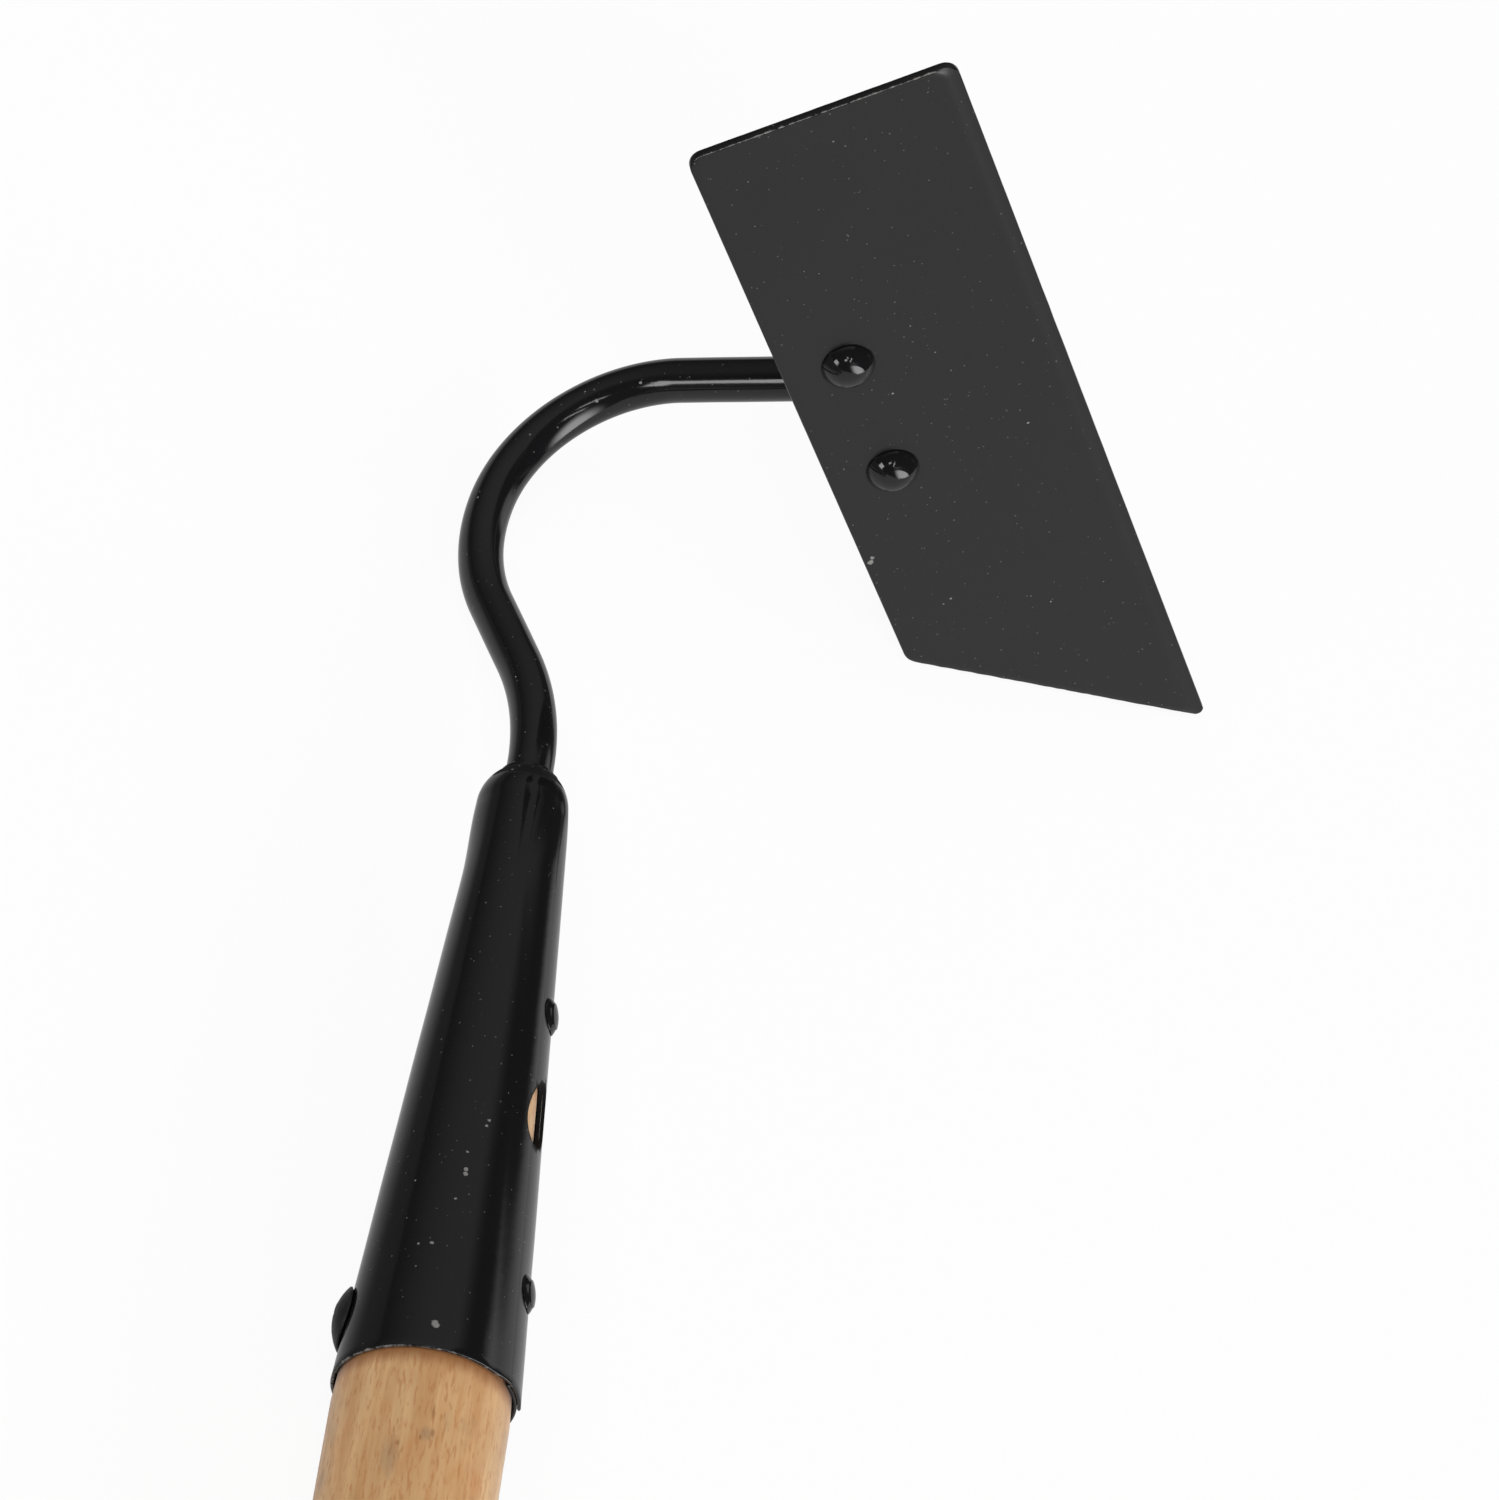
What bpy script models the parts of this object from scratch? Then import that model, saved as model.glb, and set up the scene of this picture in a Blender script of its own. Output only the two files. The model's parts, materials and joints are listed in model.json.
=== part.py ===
"""Draw hoe: a steel blade riveted to a gooseneck rod, a rolled sheet socket and a beech handle.

The hoe is modelled along its handle: +X runs from the socket's mouth to the head, +Y towards the
cutting edge and +Z along the blade towards its point. An empty then lays it down as it rests on a
floor: on the back of the gooseneck, on the blade's low corner and on the handle's butt.
"""

import math

import bmesh
import bpy
from mathutils import Matrix, Vector

MM = 0.001

# Clearance between pieces that touch
GAP = 0.3 * MM
# Overshoot of a cutter past the face that it opens
CUT_MARGIN = 1.0 * MM

# Beech handle: a round bar turned to a cone where it goes into the socket
HANDLE_DIAMETER = 28.0 * MM
HANDLE_LENGTH = 1300.0 * MM
HANDLE_BUTT_ROUNDING = 3.0 * MM
HANDLE_TIP_CHAMFER = 1.5 * MM
HANDLE_SEGMENTS = 56

# Socket: sheet rolled to a cone, lapped along a riveted seam and drawn in around the rod
SOCKET_SHEET = 0.6 * MM
SOCKET_MOUTH_BORE = HANDLE_DIAMETER
SOCKET_SHOULDER_BORE = 13.2 * MM
SOCKET_CONE_LENGTH = 115.0 * MM
SOCKET_SHOULDER_LENGTH = 6.3 * MM
SOCKET_SHOULDER_SWEEP = math.radians(78.0)
SOCKET_LIP_LENGTH = 0.6 * MM
WOOD_CLEARANCE = 0.25 * MM
LAP_WIDTH = 7.0 * MM
LAP_CLEARANCE = 0.15 * MM
LAP_RAMP_WIDTH = 5.0 * MM
LAP_RUNOUT = 8.0 * MM
LAP_CLOSING = 2.6 * MM
SEAM_GAP = 0.4 * MM
SEAM_STRIP = 0.6 * MM
LAP_STEPS = 5
SHEET_STEPS = 38

# Azimuths around the socket, from +Y towards -Z
SEAM_AZIMUTH = math.radians(-10.0)
EYE_AZIMUTH = math.radians(-3.0)
SCREW_AZIMUTH = math.radians(159.0)

# Oval eye punched through the socket beside its seam
EYE_STATION = 52.0 * MM
EYE_LENGTH = 14.2 * MM
EYE_WIDTH = 7.2 * MM
EYE_TILT = math.radians(-14.0)

# Seam rivets, measured from the mouth
SEAM_RIVET_STATIONS = {"seam_rivet_lower": 19.0 * MM, "seam_rivet_upper": 72.6 * MM}
SEAM_RIVET_SHANK = 4.0 * MM
SEAM_RIVET_HEAD = 6.6 * MM
SEAM_RIVET_HEAD_HEIGHT = 0.8 * MM
SEAM_RIVET_TAIL = 5.6 * MM
SEAM_RIVET_TAIL_HEIGHT = 0.8 * MM
SEAM_RIVET_TAIL_CROWN = 4.5 * MM

# Truss-head wood screw that holds the handle in the socket
SCREW_STATION = 11.8 * MM
SCREW_HEAD = 10.6 * MM
SCREW_HEAD_HEIGHT = 1.9 * MM
SCREW_SHANK = 4.5 * MM
SCREW_LENGTH = 20.0 * MM
SCREW_POINT = 4.0 * MM
SCREW_TIP = 0.45 * MM
SCREW_RECESS_LENGTH = 5.0 * MM
SCREW_RECESS_WIDTH = 1.1 * MM
SCREW_RECESS_DEPTH = 1.4 * MM

# Gooseneck rod: straight length, then bend radius and signed bend angle, in order from the socket
NECK_DIAMETER = 8.0 * MM
NECK_TANG = 22.0 * MM
WOOD_TO_TANG = 10.5 * MM
NECK_BENDS = (
    (3.1 * MM, 52.5 * MM, math.radians(-27.0)),
    (15.0 * MM, 38.5 * MM, math.radians(37.0)),
    (0.0, 29.0 * MM, math.radians(88.5)),
    (30.0 * MM, 6.0 * MM, math.radians(64.5)),
)
NECK_END_STRAIGHT = 1.3 * MM
NECK_SIDES = 24
NECK_STEP = math.radians(6.0)

# Weld beads where the rod meets the socket and the foot
SOCKET_BEAD_WIDTH = 0.7 * MM
SOCKET_BEAD_HEIGHT = 1.0 * MM
FOOT_BEAD_WIDTH = 2.2 * MM
FOOT_BEAD_HEIGHT = 1.8 * MM
BEAD_TOE_SHARE = 0.15

# Foot: a flat bar across the rod's end, behind the blade
FOOT_WIDTH = 16.0 * MM
FOOT_LENGTH = 43.0 * MM
FOOT_THICKNESS = 3.0 * MM
FOOT_CORNER_RADIUS = 5.0 * MM

# Blade: a flat plate with one square end and one end cut to a point
BLADE_THICKNESS = 1.8 * MM
BLADE_WIDTH = 47.2 * MM
BLADE_NECK_EDGE = 131.0 * MM
BLADE_CUTTING_EDGE = 172.5 * MM
BLADE_NECK_OFFSET = 69.8 * MM
BLADE_SQUARE_RADIUS = 2.6 * MM
BLADE_HEEL_RADIUS = 4.0 * MM
BLADE_POINT_RADIUS = 1.2 * MM
BEVEL_WIDTH = 1.8 * MM
BEVEL_DEPTH = 0.7 * MM

# Blade rivets: round heads on the front, upset tails behind the foot
BLADE_RIVET_INSET = 11.4 * MM
BLADE_RIVET_PITCH = 27.4 * MM
BLADE_RIVET_SHANK = 5.0 * MM
BLADE_RIVET_HEAD = 9.7 * MM
BLADE_RIVET_HEAD_HEIGHT = 3.2 * MM
BLADE_RIVET_TAIL = 8.0 * MM
BLADE_RIVET_TAIL_HEIGHT = 2.0 * MM
BLADE_RIVET_TAIL_CROWN = 5.6 * MM

CORNER_STEPS = 6
CONE_STEPS = 9
ROUND_SEGMENTS = 32
SMOOTH_ANGLE = math.radians(35.0)
# Roll about the handle and pitch of it between which the hoe comes to rest
REST_ROLL_RANGE = (math.radians(-85.0), math.radians(-5.0))
REST_PITCH_RANGE = (math.radians(-20.0), math.radians(20.0))
REST_ITERATIONS = 60

BLACK_PAINT = {"colour": (0.012, 0.012, 0.013, 1.0), "roughness": 0.16, "metallic": 0.0}
BLACK_SCREW = {"colour": (0.010, 0.010, 0.011, 1.0), "roughness": 0.30, "metallic": 0.6}
BEECH = {"colour": (0.50, 0.29, 0.135, 1.0), "roughness": 0.55, "metallic": 0.0}


# Materials and objects

def make_material(name, colour, roughness, metallic):
    """Return a plain Principled material for one piece."""
    material = bpy.data.materials.new(name)
    material.use_nodes = True
    shader = material.node_tree.nodes["Principled BSDF"]
    shader.inputs["Base Color"].default_value = colour
    shader.inputs["Roughness"].default_value = roughness
    shader.inputs["Metallic"].default_value = metallic
    material.diffuse_color = colour
    return material


def make_object(name, bm, parent, placement=None, finish=None):
    """Turn a bmesh into a named, smooth-shaded object on its parent."""
    bmesh.ops.recalc_face_normals(bm, faces=bm.faces)
    mesh = bpy.data.meshes.new(name)
    bm.to_mesh(mesh)
    bm.free()
    mesh.shade_smooth()
    mesh.set_sharp_from_angle(angle=SMOOTH_ANGLE)
    piece = bpy.data.objects.new(name, mesh)
    bpy.context.scene.collection.objects.link(piece)
    piece.parent = parent
    if placement is not None:
        piece.matrix_local = placement
    if finish is not None:
        mesh.materials.append(make_material(name + "_finish", **finish))
    return piece


def make_cutter(name, bm, parent, placement=None):
    """Make a tool body that only shapes other pieces."""
    cutter = make_object(name, bm, parent, placement)
    cutter.hide_render = True
    cutter.display_type = "WIRE"
    return cutter


def cut(piece, cutter):
    """Subtract a cutter from a piece with a live Boolean."""
    boolean = piece.modifiers.new(cutter.name, "BOOLEAN")
    boolean.operation = "DIFFERENCE"
    boolean.solver = "EXACT"
    boolean.object = cutter


# Shapes

def ring(bm, points):
    """Add one loop of vertices."""
    return [bm.verts.new(point) for point in points]


def skin(bm, rings):
    """Join successive closed loops with quads."""
    for lower, upper in zip(rings, rings[1:]):
        count = len(lower)
        for index in range(count):
            following = (index + 1) % count
            bm.faces.new((lower[index], lower[following], upper[following], upper[index]))


def cap(bm, loop):
    """Close a loop with a fan around its centre."""
    centre = bm.verts.new(sum((vert.co for vert in loop), Vector()) / len(loop))
    for index, vert in enumerate(loop):
        bm.faces.new((vert, loop[(index + 1) % len(loop)], centre))


def turned_rings(bm, profile, segments):
    """Add one round loop about Z for each (radius, height) point."""
    angles = [math.tau * index / segments for index in range(segments)]
    return [
        ring(bm, [(radius * math.cos(a), radius * math.sin(a), height) for a in angles])
        for radius, height in profile
    ]


def turned(profile, segments=ROUND_SEGMENTS):
    """Turn (radius, height) points about Z into a closed solid with flat ends."""
    bm = bmesh.new()
    rings = turned_rings(bm, profile, segments)
    skin(bm, rings)
    cap(bm, rings[0])
    cap(bm, rings[-1])
    return bm


def turned_ring(outline, segments=ROUND_SEGMENTS):
    """Turn a closed (radius, height) outline about Z into a ring."""
    bm = bmesh.new()
    rings = turned_rings(bm, outline, segments)
    skin(bm, rings + rings[:1])
    return bm


def cylinder(radius, bottom, top, segments=ROUND_SEGMENTS):
    """Return a plain cylinder about Z."""
    return turned([(radius, bottom), (radius, top)], segments)


def arc_profile(radius, height, base, direction, steps=CORNER_STEPS):
    """Return a spherical cap's profile from its rim at base to just off its crown."""
    sphere = (radius ** 2 + height ** 2) / (2.0 * height)
    half_angle = math.asin(min(radius / sphere, 1.0))
    if height > radius:
        half_angle = math.pi - half_angle
    points = []
    for index in range(steps):
        angle = half_angle * (1.0 - index / steps)
        rise = sphere * (math.cos(angle) - math.cos(half_angle))
        points.append((sphere * math.sin(angle), base + direction * rise))
    return points


def rounded_outline(corners, radii):
    """Return a polygon whose corners are arcs of the given radii."""
    outline = []
    count = len(corners)
    for index, (corner, radius) in enumerate(zip(corners, radii)):
        here = Vector(corner)
        before = (Vector(corners[index - 1]) - here).normalized()
        after = (Vector(corners[(index + 1) % count]) - here).normalized()
        half = before.angle(after) / 2.0
        bisector = (before + after).normalized()
        centre = here + bisector * (radius / math.sin(half))
        start = here + before * (radius / math.tan(half)) - centre
        end = here + after * (radius / math.tan(half)) - centre
        sweep = math.pi - 2.0 * half
        for step in range(CORNER_STEPS + 1):
            part = step / CORNER_STEPS
            blend = start * math.sin((1.0 - part) * sweep) + end * math.sin(part * sweep)
            outline.append(centre + blend / math.sin(sweep))
    return outline


def oval(length, width, segments=ROUND_SEGMENTS):
    """Return an ellipse's points, its length along X."""
    angles = [math.tau * index / segments for index in range(segments)]
    return [Vector((length / 2.0 * math.cos(a), width / 2.0 * math.sin(a))) for a in angles]


def plate(levels):
    """Stack (outline, height) levels of like outlines into one solid."""
    bm = bmesh.new()
    rings = [ring(bm, [(point.x, point.y, height) for point in outline]) for outline, height in levels]
    skin(bm, rings)
    bm.faces.new(rings[0])
    bm.faces.new(rings[-1])
    return bm


# Socket

def socket_bore_radius(station):
    """Return the bore's radius on the cone, at a distance from the mouth."""
    mouth = SOCKET_MOUTH_BORE / 2.0
    shoulder = SOCKET_SHOULDER_BORE / 2.0
    return mouth + (shoulder - mouth) * station / SOCKET_CONE_LENGTH


def socket_stations():
    """Return (station, bore radius) rows for the cone, its shoulder and its lip."""
    shoulder = SOCKET_SHOULDER_BORE / 2.0
    lip = NECK_DIAMETER / 2.0 + GAP
    rows = []
    for step in range(CONE_STEPS + 1):
        station = (SOCKET_CONE_LENGTH - LAP_RUNOUT) * step / CONE_STEPS
        rows.append((station, socket_bore_radius(station)))
    rows.append((SOCKET_CONE_LENGTH, shoulder))
    for step in range(1, CORNER_STEPS + 1):
        angle = SOCKET_SHOULDER_SWEEP * step / CORNER_STEPS
        along = math.sin(angle) / math.sin(SOCKET_SHOULDER_SWEEP)
        inward = (1.0 - math.cos(angle)) / (1.0 - math.cos(SOCKET_SHOULDER_SWEEP))
        rows.append((SOCKET_CONE_LENGTH + along * SOCKET_SHOULDER_LENGTH,
                     shoulder + (lip - shoulder) * inward))
    rows.append((socket_length(), lip))
    return rows


def socket_length():
    """Return the distance from the mouth to the lip's end."""
    return SOCKET_CONE_LENGTH + SOCKET_SHOULDER_LENGTH + SOCKET_LIP_LENGTH


def lap_overlap(station):
    """Return how far the edges overlap: the full lap on the cone, an open seam on the shoulder."""
    share = min(max((SOCKET_CONE_LENGTH - station) / LAP_RUNOUT, 0.0), 1.0)
    return LAP_WIDTH * share - SEAM_GAP * (1.0 - share)


def lap_lift(station):
    """Return how far the sheet's outer edge is raised, until the shoulder draws it in."""
    closed = min(max((station - SOCKET_CONE_LENGTH) / LAP_CLOSING, 0.0), 1.0)
    return (SOCKET_SHEET + LAP_CLEARANCE) * (1.0 - closed)


def sheet_course(station, bore):
    """Return (azimuth, lift) points along the rolled sheet, from its inner to its outer edge."""
    half_lap = lap_overlap(station) / 2.0 / (bore + SOCKET_SHEET)
    ramp = LAP_RAMP_WIDTH / (bore + SOCKET_SHEET)
    lift = lap_lift(station)
    strip = max(2.0 * half_lap, SEAM_STRIP / (bore + SOCKET_SHEET))
    start = SEAM_AZIMUTH + half_lap
    end = SEAM_AZIMUTH - math.tau - half_lap
    stretches = (
        (start, start - strip, 0.0, 0.0, LAP_STEPS),
        (start - strip, end + strip + ramp, 0.0, 0.0, SHEET_STEPS),
        (end + strip + ramp, end + strip, 0.0, lift, LAP_STEPS),
        (end + strip, end, lift, lift, LAP_STEPS),
    )
    course = [(start, 0.0)]
    for first, last, low, high, steps in stretches:
        for step in range(1, steps + 1):
            part = step / steps
            eased = part * part * (3.0 - 2.0 * part)
            course.append((first + (last - first) * part, low + (high - low) * eased))
    return course


def around(azimuth, radius, station):
    """Return the point at an azimuth and radius about the handle's axis."""
    return Vector((station, radius * math.cos(azimuth), -radius * math.sin(azimuth)))


def rolled_socket():
    """Loft the lapped sheet along its stations into one closed wall."""
    bm = bmesh.new()
    loops = []
    for station, bore in socket_stations():
        course = sheet_course(station, bore)
        inner = [around(azimuth, bore + lift, station) for azimuth, lift in course]
        outer = [around(azimuth, bore + lift + SOCKET_SHEET, station) for azimuth, lift in course]
        loops.append(ring(bm, inner + outer[::-1]))
    skin(bm, loops)
    count = len(loops[0])
    for loop in (loops[0], loops[-1]):
        for index in range(count // 2 - 1):
            bm.faces.new((loop[index], loop[index + 1], loop[count - 2 - index], loop[count - 1 - index]))
    return bm


def socket_normal_frame(azimuth, station, radius):
    """Return a placement on the cone whose Z axis is the wall's outward normal."""
    slope = math.atan2(SOCKET_MOUTH_BORE - SOCKET_SHOULDER_BORE, 2.0 * SOCKET_CONE_LENGTH)
    radial = around(azimuth, 1.0, 0.0)
    normal = radial * math.cos(slope) + Vector((math.sin(slope), 0.0, 0.0))
    side = Vector((1.0, 0.0, 0.0)).cross(normal).normalized()
    along = side.cross(normal)
    rotation = Matrix((along, side, normal)).transposed().to_4x4()
    rotation.translation = around(azimuth, radius, station)
    return rotation


def lap_surface_radius(station):
    """Return the outer radius over both layers of the seam."""
    return socket_bore_radius(station) + 2.0 * SOCKET_SHEET + LAP_CLEARANCE


def make_socket(hoe):
    """Make the rolled socket with its rivet holes, screw hole and eye."""
    socket = make_object("socket", rolled_socket(), hoe, finish=BLACK_PAINT)
    reach = 2.0 * SOCKET_SHEET + LAP_CLEARANCE + CUT_MARGIN
    for name, station in SEAM_RIVET_STATIONS.items():
        frame = socket_normal_frame(SEAM_AZIMUTH, station, socket_bore_radius(station))
        hole = cylinder(SEAM_RIVET_SHANK / 2.0 + GAP, -CUT_MARGIN, reach)
        cut(socket, make_cutter(name + "_hole", hole, hoe, frame))
    frame = socket_normal_frame(EYE_AZIMUTH, EYE_STATION, socket_bore_radius(EYE_STATION))
    frame = frame @ Matrix.Rotation(EYE_TILT, 4, "Z")
    sag = EYE_LENGTH ** 2 / (4.0 * SOCKET_SHOULDER_BORE)
    outline = oval(EYE_LENGTH, EYE_WIDTH)
    eye = plate([(outline, -CUT_MARGIN - sag), (outline, reach)])
    cut(socket, make_cutter("eye_punch", eye, hoe, frame))
    frame = socket_normal_frame(SCREW_AZIMUTH, SCREW_STATION, socket_bore_radius(SCREW_STATION))
    hole = cylinder(SCREW_SHANK / 2.0 + GAP, -CUT_MARGIN, reach)
    cut(socket, make_cutter("screw_hole", hole, hoe, frame))


def seam_tail_drop(station):
    """Return how far a rivet's tail lies under the bore, clear of the curved wall."""
    bore = socket_bore_radius(station)
    tail = SEAM_RIVET_TAIL / 2.0
    return bore - math.sqrt(bore ** 2 - tail ** 2) + GAP


def make_seam_rivets(hoe):
    """Make the two rivets through the socket's lapped seam."""
    for name, station in SEAM_RIVET_STATIONS.items():
        surface = lap_surface_radius(station) - socket_bore_radius(station)
        drop = seam_tail_drop(station)
        shank = SEAM_RIVET_SHANK / 2.0
        tail = SEAM_RIVET_TAIL / 2.0
        profile = [
            (SEAM_RIVET_TAIL_CROWN / 2.0, -drop - SEAM_RIVET_TAIL_HEIGHT),
            (tail, -drop - SEAM_RIVET_TAIL_HEIGHT / 2.0),
            (tail, -drop),
            (shank, -drop),
            (shank, surface + GAP),
        ]
        profile += arc_profile(SEAM_RIVET_HEAD / 2.0, SEAM_RIVET_HEAD_HEIGHT, surface + GAP, 1.0)
        frame = socket_normal_frame(SEAM_AZIMUTH, station, socket_bore_radius(station))
        make_object(name, turned(profile), hoe, frame, BLACK_PAINT)


def screw_top():
    """Return the height of the screw head's underside above the bore."""
    return SOCKET_SHEET + GAP


def make_screw(hoe):
    """Make the truss-head screw with its cross recess."""
    shank = SCREW_SHANK / 2.0
    base = screw_top()
    tip = base - SCREW_LENGTH
    profile = [(SCREW_TIP / 2.0, tip), (shank, tip + SCREW_POINT), (shank, base)]
    profile += arc_profile(SCREW_HEAD / 2.0, SCREW_HEAD_HEIGHT, base, 1.0)
    frame = socket_normal_frame(SCREW_AZIMUTH, SCREW_STATION, socket_bore_radius(SCREW_STATION))
    screw = make_object("handle_screw", turned(profile), hoe, frame, BLACK_SCREW)
    crown = base + SCREW_HEAD_HEIGHT
    half_long = SCREW_RECESS_LENGTH / 2.0
    half_wide = SCREW_RECESS_WIDTH / 2.0
    for name, half_x, half_y in (("recess_along", half_long, half_wide),
                                 ("recess_across", half_wide, half_long)):
        corners = [Vector((half_x * sx, half_y * sy)) for sx, sy in ((-1, -1), (1, -1), (1, 1), (-1, 1))]
        slot = plate([(corners, crown - SCREW_RECESS_DEPTH), (corners, crown + CUT_MARGIN)])
        cut(screw, make_cutter(name, slot, hoe, frame))


# Handle

def handle_tip():
    """Return how far past the mouth the wood reaches, short of the rod's tang."""
    return socket_length() - NECK_TANG - WOOD_TO_TANG


def handle_butt():
    """Return the butt's place along the handle's axis, behind the mouth."""
    return handle_tip() - HANDLE_LENGTH


def handle_profile():
    """Return (radius, distance from the mouth) points from the butt to the tip."""
    radius = HANDLE_DIAMETER / 2.0
    butt = handle_butt()
    profile = []
    for step in range(CORNER_STEPS + 1):
        angle = math.pi / 2.0 * step / CORNER_STEPS
        profile.append((radius - HANDLE_BUTT_ROUNDING * (1.0 - math.sin(angle)),
                        butt + HANDLE_BUTT_ROUNDING * (1.0 - math.cos(angle))))
    slope = (SOCKET_MOUTH_BORE - SOCKET_SHOULDER_BORE) / 2.0 / SOCKET_CONE_LENGTH
    shoulder = (socket_bore_radius(0.0) - WOOD_CLEARANCE - radius) / slope
    profile.append((radius, shoulder))
    end = socket_bore_radius(handle_tip()) - WOOD_CLEARANCE
    profile.append((end + HANDLE_TIP_CHAMFER * slope, handle_tip() - HANDLE_TIP_CHAMFER))
    profile.append((end - HANDLE_TIP_CHAMFER, handle_tip()))
    return profile


def make_handle(hoe):
    """Make the beech handle with its pilot hole and the pockets for the rivet tails."""
    along_x = Matrix.Rotation(math.pi / 2.0, 4, "Y")
    wood = turned(handle_profile(), HANDLE_SEGMENTS)
    handle = make_object("handle", wood, hoe, along_x, BEECH)
    for name, station in SEAM_RIVET_STATIONS.items():
        depth = seam_tail_drop(station) + SEAM_RIVET_TAIL_HEIGHT + GAP
        frame = socket_normal_frame(SEAM_AZIMUTH, station, socket_bore_radius(station))
        pocket = cylinder(SEAM_RIVET_TAIL / 2.0 + GAP, -depth, CUT_MARGIN)
        cut(handle, make_cutter(name + "_pocket", pocket, hoe, frame))
    frame = socket_normal_frame(SCREW_AZIMUTH, SCREW_STATION, socket_bore_radius(SCREW_STATION))
    pilot = cylinder(SCREW_SHANK / 2.0 + GAP, screw_top() - SCREW_LENGTH - GAP, CUT_MARGIN)
    cut(handle, make_cutter("pilot_drill", pilot, hoe, frame))


# Gooseneck rod, weld beads and foot

def neck_course():
    """Return (point, heading) pairs along the rod's centreline, from the tang to its end."""
    point = Vector((socket_length() - NECK_TANG, 0.0))
    heading = 0.0
    course = [(point.copy(), heading)]
    point.x = socket_length()
    for straight, radius, bend in NECK_BENDS:
        direction = Vector((math.cos(heading), math.sin(heading)))
        if straight > 0.0:
            point = point + direction * straight
            course.append((point.copy(), heading))
        side = math.copysign(1.0, bend)
        centre = point + Vector((-direction.y, direction.x)) * radius * side
        steps = max(1, round(abs(bend) / NECK_STEP))
        for step in range(1, steps + 1):
            turn = heading + bend * step / steps
            outward = Vector((math.sin(turn), -math.cos(turn))) * side
            course.append((centre + outward * radius, turn))
        heading += bend
        point = course[-1][0].copy()
    point = point + Vector((math.cos(heading), math.sin(heading))) * NECK_END_STRAIGHT
    course.append((point.copy(), heading))
    return course


def make_neck(hoe):
    """Sweep the round rod along its bends."""
    bm = bmesh.new()
    radius = NECK_DIAMETER / 2.0
    rings = []
    for point, heading in neck_course():
        across = Vector((-math.sin(heading), math.cos(heading), 0.0))
        centre = point.to_3d()
        loop = []
        for index in range(NECK_SIDES):
            angle = math.tau * index / NECK_SIDES
            offset = across * math.cos(angle) + Vector((0.0, 0.0, 1.0)) * math.sin(angle)
            loop.append(centre + offset * radius)
        rings.append(ring(bm, loop))
    skin(bm, rings)
    cap(bm, rings[0])
    cap(bm, rings[-1])
    make_object("neck_rod", bm, hoe, finish=BLACK_PAINT)


def bead_outline(width, height):
    """Return a fillet's (radius, height) outline around the rod, standing on height GAP."""
    bore = NECK_DIAMETER / 2.0 + GAP
    curved = 1.0 - BEAD_TOE_SHARE
    outline = [(bore, GAP), (bore + width, GAP)]
    for step in range(CORNER_STEPS + 1):
        angle = math.pi / 2.0 * step / CORNER_STEPS
        outline.append((bore + width * (BEAD_TOE_SHARE + curved * math.cos(angle)),
                        GAP + height * (BEAD_TOE_SHARE + curved * math.sin(angle))))
    outline.append((bore, GAP + height))
    return outline


def make_beads(hoe):
    """Make the weld beads at the socket's lip and on the foot."""
    along_x = Matrix.Rotation(math.pi / 2.0, 4, "Y")
    along_x.translation = Vector((socket_length(), 0.0, 0.0))
    bead = turned_ring(bead_outline(SOCKET_BEAD_WIDTH, SOCKET_BEAD_HEIGHT))
    make_object("socket_weld", bead, hoe, along_x, BLACK_PAINT)
    frame = blade_frame() @ Matrix.Translation((0.0, 0.0, foot_back()))
    bead = turned_ring(bead_outline(FOOT_BEAD_WIDTH, FOOT_BEAD_HEIGHT))
    make_object("foot_weld", bead, hoe, frame, BLACK_PAINT)


def foot_front():
    """Return the depth of the foot's front face behind the blade's front face."""
    return BLADE_THICKNESS + GAP


def foot_back():
    """Return the depth of the foot's back face behind the blade's front face."""
    return foot_front() + FOOT_THICKNESS


def blade_frame():
    """Return the blade's placement, with X towards its cutting edge and Z into its back."""
    point, heading = neck_course()[-1]
    ahead = Vector((math.cos(heading), math.sin(heading), 0.0))
    back = -ahead
    lengthwise = Vector((0.0, 0.0, 1.0))
    crosswise = lengthwise.cross(back)
    frame = Matrix((crosswise, lengthwise, back)).transposed().to_4x4()
    frame.translation = point.to_3d() + ahead * (GAP + foot_back())
    return frame


def rivet_rows():
    """Return the blade rivets' names and places along the blade."""
    half = BLADE_RIVET_PITCH / 2.0
    return (("blade_rivet_upper", -half), ("blade_rivet_lower", half))


def make_foot(hoe):
    """Make the flat bar across the rod's end, drilled for the blade's rivets."""
    half_x = FOOT_WIDTH / 2.0
    half_y = FOOT_LENGTH / 2.0
    corners = [(-half_x, -half_y), (half_x, -half_y), (half_x, half_y), (-half_x, half_y)]
    outline = rounded_outline(corners, [FOOT_CORNER_RADIUS] * len(corners))
    frame = blade_frame()
    bar = plate([(outline, foot_front()), (outline, foot_back())])
    foot = make_object("blade_foot", bar, hoe, frame, BLACK_PAINT)
    for name, along in rivet_rows():
        hole = cylinder(BLADE_RIVET_SHANK / 2.0 + GAP, foot_front() - CUT_MARGIN, foot_back() + CUT_MARGIN)
        placement = frame @ Matrix.Translation((0.0, along, 0.0))
        cut(foot, make_cutter(name + "_foot_hole", hole, hoe, placement))


# Blade and its rivets

def blade_corners(bevel):
    """Return the blade's corners, with the cutting edge drawn in by the bevel."""
    neck_edge = -BLADE_RIVET_INSET
    cutting_edge = neck_edge + BLADE_WIDTH
    square_end = -BLADE_NECK_OFFSET
    heel = square_end + BLADE_NECK_EDGE
    point = square_end + BLADE_CUTTING_EDGE
    drawn_point = point - (point - heel) * bevel / BLADE_WIDTH
    return (
        (neck_edge, square_end),
        (cutting_edge - bevel, square_end),
        (cutting_edge - bevel, drawn_point),
        (neck_edge, heel),
    )


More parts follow.
